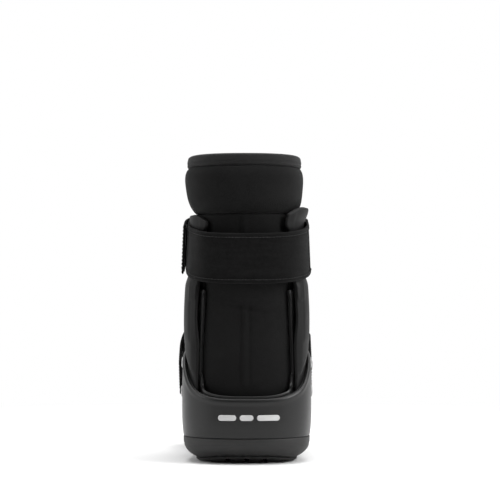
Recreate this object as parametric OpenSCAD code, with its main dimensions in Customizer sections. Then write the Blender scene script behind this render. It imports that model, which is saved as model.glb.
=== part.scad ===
// Short walker boot: a rocker sole, a plastic shell with side struts, a padded liner and three straps.
// Millimetres. +X is the right side seen from behind, +Y points to the toes and +Z is up.
// The origin is on the floor, under the axis of the leg.

/* [Overall] */
// Height of the collar's top above the floor
boot_h = 275; // [268:1:284]
// Half width of the shell at the heel
heel_w = 58.5; // [58:0.1:60]
// Distance from the leg's axis back to the heel
heel_y = 78; // [77:0.5:80]
// Distance from the leg's axis forward to the tip of the sole
toe_y = 212; // [208:1:222]

/* [Sole] */
// Height of the seam between the sole and the shell
sole_h = 23; // [21:0.5:23.5]
// Thickness of the rubber tread
tread_t = 4; // [3.5:0.1:5]
// Rise of the rocker at the back of the heel
heel_lift = 7; // [4:0.5:9]
// Rise of the rocker at the toe
toe_lift = 18; // [14:0.5:20]
// How far the sole's rounded edge runs in at the floor
sole_round = 16; // [13:0.5:18]
// Distance between the tread's cross grooves
groove_pitch = 17; // [14:1:20]

/* [Shell and frame] */
// Wall thickness of the outer shell
shell_t = 3.2; // [2.8:0.1:3.3]
// Half width of the opening behind the heel
opening_w = 42; // [40:0.5:43]
// Height of the lowest point of the rear opening
opening_z = 59.5; // [56:0.5:62]
// Height of the frame's wings
wing_z = 150; // [146:1:153]

/* [Struts] */
// Height of the left strut's head
left_head_z = 222; // [216:1:224]
// Height of the right strut's head
right_head_z = 229; // [222:1:231]
// Outward flare of the right strut's lip
right_flare = 4.6; // [2:0.2:5]

/* [Liner] */
// Thickness of the liner's foam
liner_t = 6; // [5:0.5:6.5]
// Thickness of the padded collar
collar_t = 9; // [7:0.5:10]
// Sideways lean of the leg sleeve above the ankle
liner_lean = -1; // [-1.2:0.1:0]

/* [Straps] */
// Thickness of a strap
strap_t = 1.8; // [1.5:0.1:2]
// Width of the ankle strap
ankle_strap_w = 44.8; // [40:0.4:46]
// Width of the instep and forefoot straps
foot_strap_w = 38; // [34:0.5:40]
// Diameter of a ring's bars
bar_d = 3.2; // [2.8:0.1:3.4]

/* [Hidden] */

// Clearance between neighbouring walls, and at a bonded seam
gap = 0.25;
seam_gap = 0.05;
// Sides of a round part
fine = 32;

// ---- Curves ----

function mix(a, b, t) = a + (b - a) * t;
function ease(t) = let (c = max(0, min(1, t))) c * c * (3 - 2 * c);
function spow(v, e) = sign(v) * pow(abs(v), e);
function reversed(v) = [for (i = [len(v) - 1:-1:0]) v[i]];
function steps(a, b, n) = [for (i = [0:n]) mix(a, b, i / n)];

// Smooth curve through [position, value] keys, level at both ends
function slope(k, i) =
    i == 0 || i == len(k) - 1 ? 0 : (k[i + 1][1] - k[i - 1][1]) / (k[i + 1][0] - k[i - 1][0]);
function segment(k, t, i = 0) = i >= len(k) - 2 || t < k[i + 1][0] ? i : segment(k, t, i + 1);
function along(k, t) =
    let (
        c = max(k[0][0], min(k[len(k) - 1][0], t)),
        i = segment(k, c),
        w = k[i + 1][0] - k[i][0],
        u = (c - k[i][0]) / w
    )
    (2 * u ^ 3 - 3 * u ^ 2 + 1) * k[i][1] + (u ^ 3 - 2 * u ^ 2 + u) * w * slope(k, i)
    + (3 * u ^ 2 - 2 * u ^ 3) * k[i + 1][1] + (u ^ 3 - u ^ 2) * w * slope(k, i + 1);

// Superellipse quarters: a is 0 at the back, 90 on the right, 180 at the front
function oval(a, w, back, front, nb, nf) =
    let (n = cos(a) >= 0 ? nb : nf, d = cos(a) >= 0 ? back : front)
    [w * spow(sin(a), 2 / n), -d * spow(cos(a), 2 / n)];

// ---- Footprint and heights ----

// Exponents of the footprint's outline behind and in front of its widest line
heel_curve = 2.4;
toe_curve = 4;
widest_y = -22;
waist_keys = [[widest_y, 0], [5, -0.04], [30, -0.06], [70, -0.055], [120, -0.03], [175, -0.03], [222, 0]];
function waist(y) = 1 + along(waist_keys, y);
function plan(a, inset) =
    let (
        back = heel_y + widest_y - inset,
        front = toe_y - widest_y - inset,
        p = oval(a, heel_w - inset, back, front, heel_curve, toe_curve)
    )
    [p[0] * waist(p[1] + widest_y), p[1] + widest_y];

// Angles that space the footprint's points evenly, right side then left side
side_angles = concat(
    [for (a = [3.5:7:87.5]) a],
    [
        for (u = [0.06, 0.13, 0.2, 0.28, 0.36, 0.45, 0.54, 0.63, 0.72, 0.8, 0.87, 0.925, 0.965, 0.99])
            acos(-u * u)
    ]
);
plan_angles = concat(side_angles, [for (a = reversed(side_angles)) 360 - a]);

// The tread is flat between these; beyond them it curves up
rocker_back = -40;
rocker_front = 78;
rocker_curve = 1.8;
function rocker(y) =
    y < rocker_back ? heel_lift * ((rocker_back - y) / (heel_y + rocker_back)) ^ rocker_curve :
    y > rocker_front ? toe_lift * ((y - rocker_front) / (toe_y - rocker_front)) ^ rocker_curve : 0;
// The seam climbs from here to the toes
seam_rise = 12.8;
seam_rise_y = 100;
seam_rise_l = 150;
function seam_z(y) = sole_h + seam_rise * ease((y - seam_rise_y) / seam_rise_l);

// Inset of the shell's outside at a height, from the widest line
tuck_z = 42;
tuck_in = 1.3;
taper_z = 50;
taper_in = 5;
function taper(z) =
    z < tuck_z ? tuck_in * ((tuck_z - z) / 19) ^ 2 :
    z < taper_z ? 0 : taper_in * ((z - taper_z) / 110) ^ 1.9;

// Height of the shell's rim along the boot
rim_keys = [
    [-80, opening_z - 1], [-73, opening_z + 1], [-61, opening_z + 8], [-54, opening_z + 16],
    [-45, opening_z + 31], [-35, 99], [-15, 106], [5, 105], [25, 95], [45, 74], [70, 59],
    [110, 51], [150, 49], [222, 48]
];
function rim_z(y) = along(rim_keys, y);

// ---- Solids from rows of points ----

// Skins a stack of closed rows; point j of a row faces point n - 1 - j across the caps
module loft(rows) {
    n = len(rows[0]);
    last = (len(rows) - 1) * n;
    function quad(p, q, r, s) = [[p, q, r], [p, r, s]];
    polyhedron(
        points = [for (row = rows) each row],
        faces = [
            for (i = [0:len(rows) - 2], j = [0:n - 1])
                let (k = (j + 1) % n)
                each quad(i * n + j, (i + 1) * n + j, (i + 1) * n + k, i * n + k),
            for (j = [0:n / 2 - 2]) each quad(j, j + 1, n - 2 - j, n - 1 - j),
            for (j = [0:n / 2 - 2])
                each quad(last + n - 1 - j, last + n - 2 - j, last + j + 1, last + j)
        ]
    );
}

// ---- Sole ----

// How far the midsole's top stands in from the shell
sole_step = 1.3;
tread_inset = sole_round + sole_step;
groove_w = 3.5;
groove_d = 2.4;
tread_gap = 0.1;

module outsole() {
    profile = concat(
        [for (y = steps(-heel_y, rocker_back, 8)) [y, rocker(y)]],
        [for (y = steps(rocker_front, toe_y, 12)) [y, rocker(y)]],
        [for (y = steps(toe_y, rocker_front, 12)) [y, rocker(y) + tread_t]],
        [for (y = steps(rocker_back, -heel_y, 8)) [y, rocker(y) + tread_t]]
    );
    rib = 14;
    heel_groove = 48;
    over = 1;
    color("black") difference() {
        intersection() {
            translate([-heel_w, 0, 0]) rotate([90, 0, 90]) linear_extrude(2 * heel_w) polygon(profile);
            translate([0, 0, -over])
                linear_extrude(heel_lift + toe_lift + 2 * tread_t + over)
                    polygon([for (a = plan_angles) plan(a, tread_inset)]);
        }
        for (y = [rocker_back:groove_pitch:rocker_front], side = [-1, 1])
            translate([side * (rib + heel_w / 2), y, groove_d / 2 - over])
                cube([heel_w, groove_w, groove_d + 2 * over], center = true);
        translate([-groove_w, -heel_y, -over])
            cube([2 * groove_w, heel_groove, over + groove_d + heel_lift]);
    }
}

module midsole() {
    function level(v) = [
        for (a = plan_angles)
            let (p = plan(a, sole_step + sole_round * (1 - v) ^ 2))
            [p[0], p[1], mix(rocker(p[1]) + tread_t + tread_gap, seam_z(p[1]), v)]
    ];
    color("dimgray") loft([for (v = [0, 0.12, 0.3, 0.55, 0.8, 1]) level(v)]);
}

// ---- Shell, frame and struts ----

strut_t = 3.2;
frame_inset = shell_t + strut_t + 5 * gap;
frame_t = 3.2;
// Angle on the footprint at which the frame's front edge stands
frame_front = 93.5;
wing_keys = [[-80, wing_z], [-10, wing_z], [8, 128], [24, 98], [36, 84]];
rivet_r = 2.4;
rivet_bore = 2.5;
bore_l = 20;

function shell_level(low, share, inset) = [
    for (a = plan_angles)
        let (
            q = plan(a, inset),
            z = mix(seam_z(q[1]) + low, rim_z(q[1]), share),
            p = plan(a, inset + taper(z))
        )
        [p[0], p[1], z]
];

module shell() {
    shares = [0, 0.2, 0.45, 0.72, 1];
    color("dimgray") difference() {
        loft(concat(
            [for (v = shares) shell_level(seam_gap, v, 0)],
            [for (v = reversed(shares)) shell_level(shell_t, v, shell_t)]
        ));
        strut_rivet_places() cylinder(r = rivet_bore, h = 2 * heel_w, center = true, $fn = fine);
        chafe_rivet_places() cylinder(r = rivet_bore, h = bore_l, center = true, $fn = fine);
    }
}

// Angle on the footprint, inset by d, at which the half width is x
function angle_at(x, d) = asin((x / (heel_w - d)) ^ 1.2);
edge_a = angle_at(opening_w, frame_inset);

// Inset of the frame's outside: close behind the shell below the opening, clear of the struts beside it
shift_angle = 12;
function frame_out(a) =
    mix(shell_t + gap, frame_inset, ease((abs(a) - edge_a + shift_angle + 2) / shift_angle));

// Top of the frame: the opening's lip, its corner, its upright side and the wing
lip_rise = 9;
corner_rise = 10;
corner_angle = 5;
function frame_top(b) =
    b < edge_a - corner_angle ? opening_z + lip_rise * (b / (edge_a - corner_angle)) ^ 3 :
    b < edge_a ? opening_z + lip_rise + corner_rise * ((b - edge_a) / corner_angle + 1) ^ 2 :
    b < edge_a + 1.01 ? mix(opening_z + lip_rise + corner_rise, wing_z, b - edge_a) :
    along(wing_keys, plan(b, frame_inset)[1]);

half_angles = [
    2, 12, 22, edge_a - 14, edge_a - 9, edge_a - 5, edge_a - 2.5, edge_a, edge_a + 1, edge_a + 6,
    70, 80, 88, 90.1, 90.4, 90.8, 91.3, 91.8, 92.6, frame_front
];
frame_angles = concat([for (b = reversed(half_angles)) -b], half_angles);

// Wall standing on the shell's floor along the footprint
module wall(angles, inset_of, top_of, thickness) {
    foot = sole_h + shell_t + gap;
    function edge(a, extra, z) = let (p = plan(a, inset_of(a) + extra + taper(z))) [p[0], p[1], z];
    rows = [
        for (v = [0, 0.25, 0.5, 0.75, 1])
            let (zs = [for (a = angles) mix(foot, top_of(abs(a)), v)])
            concat(
                [for (i = [0:len(angles) - 1]) edge(angles[i], 0, zs[i])],
                [for (i = [len(angles) - 1:-1:0]) edge(angles[i], thickness, zs[i])]
            )
    ];
    loft(rows);
}

module ankle_frame() {
    color("dimgray") difference() {
        wall(frame_angles, function (a) frame_out(a), function (b) frame_top(b), frame_t);
        strut_rivet_places() cylinder(r = rivet_bore, h = 2 * heel_w, center = true, $fn = fine);
    }
}

strut_foot = 42;
strut_curve = 0.833;
// Angle behind the widest line at which a strut's rear edge stands, and where its lip starts to flare
strut_sweep = 38;
flare_z = 212;
flare_l = 16;
// How far the head's corners fall, and how far its highest point is behind the widest line
head_fall = 9;
head_shift = 0.1;
strut_w_keys = [
    [42, 54.6], [52, 54.6], [75, 54.3], [95, 53.5], [106, 53.2], [127, 55.6], [143, 54.8], [160, 53.4],
    [185, 52], [205, 50.9], [222, 50.4], [232, 50.4]
];
strut_y_keys = [[42, -22], [110, -22], [180, -14], [232, -10]];
strut_back_keys = [[42, 51.6], [95, 50.6], [110, 50.4], [150, 48.8], [180, 49], [232, 49.5]];
strut_reach_keys = [[42, 26], [110, 26], [150, 18], [232, 16]];
strut_steps = [for (i = [-8:5]) i / (i < 0 ? 8 : 5)];

// Point of a strut's skin: t runs from its rear edge, -1, over the side, 0, to its front edge, 1
function strut_point(side, t, z, inset, flare) =
    let (
        w = along(strut_w_keys, z) - inset + flare * ease((z - flare_z) / flare_l),
        cy = along(strut_y_keys, z),
        a = 90 + strut_sweep * t,
        back = (along(strut_back_keys, z) - inset) * spow(cos(a), strut_curve),
        y = t < 0 ? cy - back : cy + along(strut_reach_keys, z) * t,
        share = t < 0 ? spow(sin(a), strut_curve) * waist(cy) : waist(max(y, widest_y))
    )
    [side * w * share, y, z];

module strut_band(side, z_of, rows, inset, thickness, flare) {
    cells = [
        for (v = rows)
            concat(
                [for (t = strut_steps) strut_point(side, t, z_of(t, v), inset, flare)],
                [for (t = reversed(strut_steps)) strut_point(side, t, z_of(t, v), inset + thickness, flare)]
            )
    ];
    loft(side > 0 ? cells : reversed(cells));
}

module strut(side, head_z, flare) {
    color("black") difference() {
        strut_band(
            side,
            function (t, v) mix(strut_foot, head_z - head_fall * abs(t + head_shift) ^ 3, v),
            steps(0, 1, 14), 0, strut_t, flare
        );
        strut_rivet_places() cylinder(r = rivet_bore, h = 2 * heel_w, center = true, $fn = fine);
    }
}

module strut_left() strut(-1, left_head_z, 0);
module strut_right() strut(1, right_head_z, right_flare);

// Rivets stand at [y, z] on both sides; each acts only on the walls of its own side
module strut_rivet_places() {
    reach = 36;
    for (side = [-1, 1], p = [[-20, 62], [-20, 88]])
        translate([side * heel_w, p[0], p[1]]) rotate([0, side * 90, 0]) intersection() {
            children();
            translate([0, 0, 3 - reach / 2]) cube([20, 20, reach], center = true);
        }
}

module strut_rivets() {
    shank = 10.4;
    head = 1.2;
    overlap = 0.5;
    color("silver") strut_rivet_places() {
        union() {
            translate([0, 0, -shank]) cylinder(r = rivet_r, h = shank + overlap, $fn = fine);
            translate([0, 0, seam_gap]) cylinder(r1 = 5, r2 = 3.6, h = head, $fn = fine);
        }
    }
}

// Plain raised bars across the heel, each from one x to the next
module heel_badge() {
    low = 39;
    high = 44;
    proud = 0.7;
    function edge(a, inset, z) = let (p = plan(a, inset + taper(z))) [p[0], p[1], z];
    color("lightgray")
        for (bar = [[-25, -9], [-6, 6], [9, 29]]) {
            angles = [for (x = steps(bar[0], bar[1], 8)) sign(x) * angle_at(abs(x), 0)];
            loft([
                for (z = [low, high])
                    concat(
                        [for (a = angles) edge(a, -proud, z)],
                        [for (a = reversed(angles)) edge(a, -seam_gap, z)]
                    )
            ]);
        }
}

module insole() {
    inset = frame_inset + frame_t + liner_t + 1.2;
    front_share = 0.92;
    raised = 8;
    thick = 4.5;
    function level(low) = [
        for (a = plan_angles)
            let (p = plan(a, inset), y = p[1] * (p[1] > 0 ? front_share : 1))
            [p[0], y, seam_z(y) + shell_t + liner_t + low]
    ];
    color("dimgray") loft([level(raised), level(raised + thick)]);
}

// ---- Liner ----

leg_y_keys = [[100, -22], [150, -17], [222, -8], [280, -6]];
leg_w_keys = [[100, 45.4], [108, 45.3], [150, 42.5], [170, 43.2], [200, 44.4], [222, 45], [280, 46]];
leg_back_keys = [[100, -66.1], [150, -62.3], [200, -60], [222, -59], [280, -58]];
leg_front_keys = [[100, 48], [150, 47], [222, 43], [280, 44]];
// Swell of the collar beyond the sleeve
collar_keys = [[222, 0], [233, 2.9], [244, 4.4], [257, 5.6], [264, 3.2], [266, 4], [275, 2.8]];
collar_z = 222;
hem_z = 264;
// Half angle of the sleeve's open front
liner_half_gap = 31.4;

function lean(z) = liner_lean * ease((z - 150) / 60);
function leg_point(a, z, grow) =
    let (
        cy = along(leg_y_keys, z),
        p = oval(
            a, along(leg_w_keys, z) + grow, cy - along(leg_back_keys, z) + grow,
            along(leg_front_keys, z) - cy + grow * 0.6, heel_curve, 2.2
        )
    )
    [p[0] + lean(z), p[1] + cy, z];

// Open-fronted sleeve round the leg
module sleeve(heights, grow_of, thickness_of) {
    angles = steps(-180 + liner_half_gap, 180 - liner_half_gap, 35);
    rows = [
        for (z = heights)
            concat(
                [for (a = angles) leg_point(a, z, grow_of(z))],
                [for (a = reversed(angles)) leg_point(a, z, grow_of(z) - thickness_of(z))]
            )
    ];
    loft(rows);
}

module liner_leg() {
    heights = [108.5, 120, 135, 150, 165, 185, 205, collar_z - gap];
    color("black") sleeve(heights, function (z) 0, function (z) liner_t);
}

module liner_collar() {
    color("black")
        sleeve(
            [collar_z, 227, 233, 244, 257, hem_z - gap],
            function (z) along(collar_keys, z),
            function (z) collar_t * (0.75 + 0.25 * sin((z - collar_z) / (hem_z - collar_z) * 180))
        );
}

module collar_binding() {
    color("black")
        sleeve(
            [hem_z, 267, 271, boot_h], function (z) along(collar_keys, z), function (z) collar_t * 0.8
        );
}

module liner_heel() {
    heel_angles = [for (i = [0.5:20.5]) i * 93.2 / 20.5];
    top = 108.2;
    color("black")
        wall(
            concat([for (a = reversed(heel_angles)) -a], heel_angles),
            function (a) frame_inset + frame_t + 3 * gap,
            function (b) top,
            liner_t
        );
}

foot_top_keys = [[56, 110], [70, 100], [90, 92], [130, 81], [190, 71]];
// Height of the foot part's widest line over the shell's floor, and its room from the shell's outside
foot_centre = 20;
foot_room = shell_t + 3;
function foot_w(y) =
    let (reach = (y - widest_y) / (toe_y - foot_room - widest_y))
    (heel_w - foot_room) * waist(y) * (1 - reach ^ toe_curve) ^ (1 / toe_curve);

module liner_foot() {
    floor_curve = 6;
    top_curve = 2.3;
    angles = steps(-154, 154, 31);
    function rim(y, a, grow) =
        let (
            low = seam_z(y) + shell_t + gap,
            cz = low + foot_centre,
            p = oval(
                a, foot_w(y) + grow, foot_centre + grow,
                along(foot_top_keys, y) - cz + grow, floor_curve, top_curve
            )
        )
        [p[0], y, cz + p[1]];
    color("black") loft([
        for (y = [186, 178, 165, 145, 125, 105, 90, 76, 64, 56])
            concat(
                [for (a = angles) rim(y, a, 0)],
                [for (a = reversed(angles)) rim(y, a, -liner_t)]
            )
    ]);
}

// Padded tongue from the toes up the shin: rows of [y, z, lean of the pad, sag at its edges, half width]
module tongue() {
    thick = 4.5;
    spine = [
        [150, 68, 80, 6, 28], [120, 73.5, 78, 7, 29], [95, 80, 72, 8, 27], [74, 89, 60, 8, 24],
        [58, 101, 48, 8, 21], [47, 117, 28, 8, 21], [40.5, 138, 14, 8, 21], [37, 165, 6, 9, 22],
        [35, 200, 3, 12, 25], [34, 240, 1, 13, 27], [34, 258, 0, 13, 27]
    ];
    across = steps(-1, 1, 9);
    function pad(s, depth) = [
        for (u = across)
            let (d = depth + s[3] * abs(u) ^ 2)
            [u * s[4], s[0] - d * cos(s[2]), s[1] - d * sin(s[2])]
    ];
    color("black") loft([for (s = spine) concat(pad(s, 0), reversed(pad(s, thick)))]);
}

// ---- Straps ----

// Running clearance of a bar in its sewn loop
loop_clear = 0.08;
bar_r = bar_d / 2;
loop_r = bar_r + loop_clear + strap_t / 2;
loop_sides = 48;
hook_t = 0.8;
hook_gap = 0.06;
landing_t = 0.8;

// Per strap: y, z and tilt of its own frame, its width, half width and crown of its line, the line's
// exponent, heights of the fixed and the moving bar, and ends of the strap and of the chafe
ANKLE = [0, 194.7, 11, ankle_strap_w, 55.3, 57, 2.3, 16, 30, -24, 0];
INSTEP = [19.8, 83.9, 35, foot_strap_w, 58.4, 63, 2.5, 23, 36, -20, -22];
FOREFOOT = [114, 48, 76, foot_strap_w, 58.1, 44.5, 2.6, 9.5, 20.5, -15, -17];

module frame_of(k) translate([0, k[0], k[1]]) rotate([k[2], 0, 0]) children();

// The strap lies over its landing on the left, so its line there is further out
function left_line(k, landing) = k[4] + landing + hook_t + 2 * hook_gap;
function arch(k, a, w) = [w * spow(cos(a), 2 / k[6]), k[5] * spow(sin(a), 2 / k[6])];
function start_angle(k) = asin((k[8] / k[5]) ^ (k[6] / 2));
function unit(v) = v / norm(v);
function turned(v) = [v[1], -v[0]];
function start_normal(k) = turned(unit(arch(k, start_angle(k) + 1, k[4]) - arch(k, start_angle(k), k[4])));
function moving_bar(k) = arch(k, start_angle(k), k[4]) - loop_r * start_normal(k);
function fixed_bar(k) = [k[4] - loop_r, k[7]];

// Polygon of constant thickness along a path
function normal_at(path, i) =
    turned(unit(path[min(i + 1, len(path) - 1)] - path[max(i - 1, 0)]));
function shifted(path, d) = [for (i = [0:len(path) - 1]) path[i] + d * normal_at(path, i)];
module band(path, from, to) polygon(concat(shifted(path, to), reversed(shifted(path, from))));

module eye(centre) translate(centre) circle(r = loop_r + strap_t / 2, $fn = loop_sides);
module eye_bore(centre) translate(centre) circle(r = bar_r + loop_clear, $fn = loop_sides);

module strip(k, width) {
    frame_of(k) translate([0, 0, -width / 2]) linear_extrude(width) children();
}

module ring(k) {
    reach = k[3] / 2 + bar_r + 0.7;
    cross_r = 0.85 * bar_r;
    a = fixed_bar(k);
    b = moving_bar(k);
    d = b - a;
    color("silver") frame_of(k) {
        for (p = [a, b])
            translate([p[0], p[1], -reach - bar_r]) cylinder(r = bar_r, h = 2 * (reach + bar_r), $fn = fine);
        for (z = [-reach, reach])
            translate([a[0], a[1], z]) rotate([0, 0, atan2(d[1], d[0])]) rotate([0, 90, 0])
                cylinder(r = cross_r, h = norm(d), $fn = fine);
    }
}

// The strap's centre line from the moving bar, over the front, to its free end on the left
function strap_path(k, landing) =
    let (w = left_line(k, landing) + strap_t / 2)
    concat(
        [for (a = steps(start_angle(k), 90, 12)) arch(k, a, k[4])],
        [for (a = steps(97, 180, 11)) arch(k, a, w)],
        [[-w, k[9]]]
    );

module free_strap(k, landing) {
    color("black") strip(k, k[3]) difference() {
        union() {
            band(strap_path(k, landing), -strap_t / 2, strap_t / 2);
            eye(moving_bar(k));
        }
        eye_bore(moving_bar(k));
    }
}

// Hook patch under the strap's free end
module hook_tab(k, landing) {
    w = left_line(k, landing);
    color("dimgray") strip(k, k[3] - 4)
        translate([-w + hook_gap, k[9] + 1]) square([hook_t, -k[9] - 2]);
}

module chafe(k) {
    path = [[k[4], k[10]], [k[4], k[7]]];
    color("black") difference() {
        strip(k, k[3]) difference() {
            union() {
                band(path, -strap_t / 2, strap_t / 2);
                eye(fixed_bar(k));
            }
            eye_bore(fixed_bar(k));
        }
        chafe_rivet_places() cylinder(r = rivet_bore, h = bore_l, center = true, $fn = fine);
    }
}

// Loop patch on the shell's left side
module landing(k) {
    color("black") strip(k, k[3])
        translate([-k[4] - landing_t + strap_t / 2, k[9] - 2]) square([landing_t, 1 - k[9]]);
}

// Distance of the rivets from the chafe's end, and from its middle
rivet_margin = 8;
rivet_x = 11;

module chafe_rivet_places() {
    for (k = [INSTEP, FOREFOOT], s = [-1, 1])
        frame_of(k)
            translate([k[4] + strap_t / 2, k[10] + rivet_margin, s * rivet_x])
                rotate([0, 90, 0]) children();
}

module strap_rivets() {
    shank = 6.5;
    head = 1.3;
    overlap = 0.5;
    color("silver") chafe_rivet_places() {
        translate([0, 0, -shank]) cylinder(r = rivet_r, h = shank + overlap, $fn = fine);
        translate([0, 0, seam_gap]) cylinder(r1 = 4.4, r2 = 3.2, h = head, $fn = fine);
    }
}

module ankle_strap() {
    depth = 70;
    curve = 3;
    left_end = 14;
    w = ANKLE[4];
    back = [for (a = steps(90, -90, 36)) oval(a, w, depth, depth, curve, curve)];
    path = concat([[-w, left_end]], reversed(back), [[w, ANKLE[7]]]);
    color("black") strip(ANKLE, ANKLE[3]) difference() {
        union() {
            band(path, -strap_t / 2, strap_t / 2);
            eye(fixed_bar(ANKLE));
        }
        eye_bore(fixed_bar(ANKLE));
    }
}

// Hook patches on the struts, under the ankle strap and sloping with it
module hook_pads() {
    low = 172;
    high = 200;
    slope = 5;
    thick = 0.65;
    color("dimgray") for (side = [-1, 1])
        strut_band(
            side, function (t, v) mix(low, high, v) + slope * t, steps(0, 1, 4),
            -thick - 3 * seam_gap, thick, 0
        );
}

// Lines of the two padded flaps, laid out like a strap's
SHIN_LINE = [0, 0, 0, 0, 47.5, 50, 2.2];
TOE_LINE = [0, 0, 0, 0, 50, 39, 2.4];

module flap(k, line, half_angle, low, high, thick) {
    path = [for (a = steps(90 - half_angle, 90 + half_angle, 16)) arch(line, a, line[4])];
    color("black") frame_of(k) translate([0, 0, low]) linear_extrude(high - low) band(path, 0, thick);
}

module shin_flap() flap(ANKLE, SHIN_LINE, 44, -40, 13, 3.5);
module forefoot_flap() flap(FOREFOOT, TOE_LINE, 50, -26, 26, 3);

// Padding sewn under the middle of the instep strap
module instep_pad() {
    thick = 4.8;
    top = -strap_t / 2 - 0.2;
    path = [for (a = steps(60, 120, 12)) arch(INSTEP, a, INSTEP[4])];
    color("black") strip(INSTEP, INSTEP[3]) band(path, top - thick, top);
}

module ankle_ring() ring(ANKLE);
module ankle_strap_free() free_strap(ANKLE, strap_t);
module ankle_hook_tab() hook_tab(ANKLE, strap_t);
module instep_chafe() chafe(INSTEP);
module instep_landing() landing(INSTEP);
module instep_ring() ring(INSTEP);
module instep_strap() free_strap(INSTEP, landing_t);
module instep_hook_tab() hook_tab(INSTEP, landing_t);
module forefoot_chafe() chafe(FOREFOOT);
module forefoot_landing() landing(FOREFOOT);
module forefoot_ring() ring(FOREFOOT);
module forefoot_strap() free_strap(FOREFOOT, landing_t);
module forefoot_hook_tab() hook_tab(FOREFOOT, landing_t);

outsole();
midsole();
shell();
ankle_frame();
strut_left();
strut_right();
strut_rivets();
heel_badge();
insole();
liner_collar();
collar_binding();
liner_leg();
liner_heel();
liner_foot();
tongue();
shin_flap();
forefoot_flap();
hook_pads();
strap_rivets();
ankle_strap();
ankle_ring();
ankle_strap_free();
ankle_hook_tab();
instep_chafe();
instep_landing();
instep_ring();
instep_strap();
instep_hook_tab();
instep_pad();
forefoot_chafe();
forefoot_landing();
forefoot_ring();
forefoot_strap();
forefoot_hook_tab();
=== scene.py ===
"""The looks of a short walker boot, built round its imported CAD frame.

Lengths are in millimetres until a mesh is made, where they become metres. Angles are in degrees. +X is the
right side seen from behind, and +Y points to the toes.
"""

import math

import bpy
import numpy as np
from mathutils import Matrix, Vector


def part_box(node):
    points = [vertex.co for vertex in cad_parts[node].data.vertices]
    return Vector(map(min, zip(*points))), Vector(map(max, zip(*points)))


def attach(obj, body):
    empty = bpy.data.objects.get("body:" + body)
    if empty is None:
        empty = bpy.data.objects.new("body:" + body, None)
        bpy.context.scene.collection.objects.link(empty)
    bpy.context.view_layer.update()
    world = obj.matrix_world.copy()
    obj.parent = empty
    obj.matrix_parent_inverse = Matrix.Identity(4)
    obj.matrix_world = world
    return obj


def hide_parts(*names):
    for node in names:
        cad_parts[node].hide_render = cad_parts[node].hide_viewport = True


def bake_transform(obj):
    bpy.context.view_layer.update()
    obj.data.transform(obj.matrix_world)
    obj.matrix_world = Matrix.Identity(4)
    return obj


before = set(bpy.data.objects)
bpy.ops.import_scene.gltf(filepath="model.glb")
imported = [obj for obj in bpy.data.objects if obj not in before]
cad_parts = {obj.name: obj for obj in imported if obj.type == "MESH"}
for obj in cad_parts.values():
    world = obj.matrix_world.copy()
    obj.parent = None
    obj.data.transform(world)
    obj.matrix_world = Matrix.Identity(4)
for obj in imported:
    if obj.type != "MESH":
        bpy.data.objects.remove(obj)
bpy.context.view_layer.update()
MM = 0.001


def corners(node):
    lo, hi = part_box(node)
    return np.array(lo) / MM, np.array(hi) / MM


# ---- Curves and paths ----


def ease(t):
    t = np.clip(t, 0.0, 1.0)
    return t * t * (3 - 2 * t)


def mix(a, b, t):
    return a + (b - a) * t


def spow(v, e):
    """Power that keeps the sign."""
    return np.sign(v) * np.abs(v) ** e


def bump_line(d, width):
    """Bell of height 1 where d is 0, for folds, seams and ridges."""
    return np.exp(-((d / width) ** 2))


def along(keys, t):
    """Smooth curve through (position, value) keys, level at both ends."""
    k = np.array(keys, float)
    slope = np.zeros(len(k))
    slope[1:-1] = (k[2:, 1] - k[:-2, 1]) / (k[2:, 0] - k[:-2, 0])
    t = np.clip(np.asarray(t, float), k[0, 0], k[-1, 0])
    i = np.clip(np.searchsorted(k[:, 0], t, side="right") - 1, 0, len(k) - 2)
    w = k[i + 1, 0] - k[i, 0]
    u = (t - k[i, 0]) / w
    return (
        (2 * u**3 - 3 * u**2 + 1) * k[i, 1]
        + (u**3 - 2 * u**2 + u) * w * slope[i]
        + (3 * u**2 - 2 * u**3) * k[i + 1, 1]
        + (u**3 - u**2) * w * slope[i + 1]
    )


def oval(a, w, back, front, nb, nf):
    """Superellipse quarters: a is 0 at the back, 90 on the right and 180 at the front."""
    s, c = np.sin(np.radians(a)), np.cos(np.radians(a))
    n = np.where(c >= 0, nb, nf)
    d = np.where(c >= 0, back, front)
    return w * spow(s, 2 / n), -d * spow(c, 2 / n)


def arc_lengths(p, axis=0):
    """Distance of each point from the first, along one axis of a grid or path."""
    step = np.linalg.norm(np.diff(p, axis=axis), axis=-1)
    pad = np.zeros_like(np.take(step, [0], axis=axis))
    return np.concatenate([pad, np.cumsum(step, axis=axis)], axis=axis)


def at_lengths(path, s, t):
    """A path's points at t, where s holds the place of each of its own points."""
    return np.stack([np.interp(t, s, column) for column in path.T], -1)


def smooth_path(path, times):
    path = np.array(path, float)
    for _ in range(times):
        path[1:-1] = (path[:-2] + 2 * path[1:-1] + path[2:]) / 4
    return path


def wander(a, z, seed):
    """Smooth uneven swell, within about -1 to 1."""
    rng = np.random.default_rng(seed)
    total = 0
    for _ in range(9):
        fa, fz = rng.uniform(0.5, 3.2), rng.uniform(0.5, 3.0)
        pa, pz = rng.uniform(0, 6.28, 2)
        total = total + rng.uniform(0.4, 1) * np.sin(np.radians(a) * fa + pa) * np.sin(z / 40 * fz + pz)
    return total / 3.2


# ---- Size and outline of the boot, read from the frame ----

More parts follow.
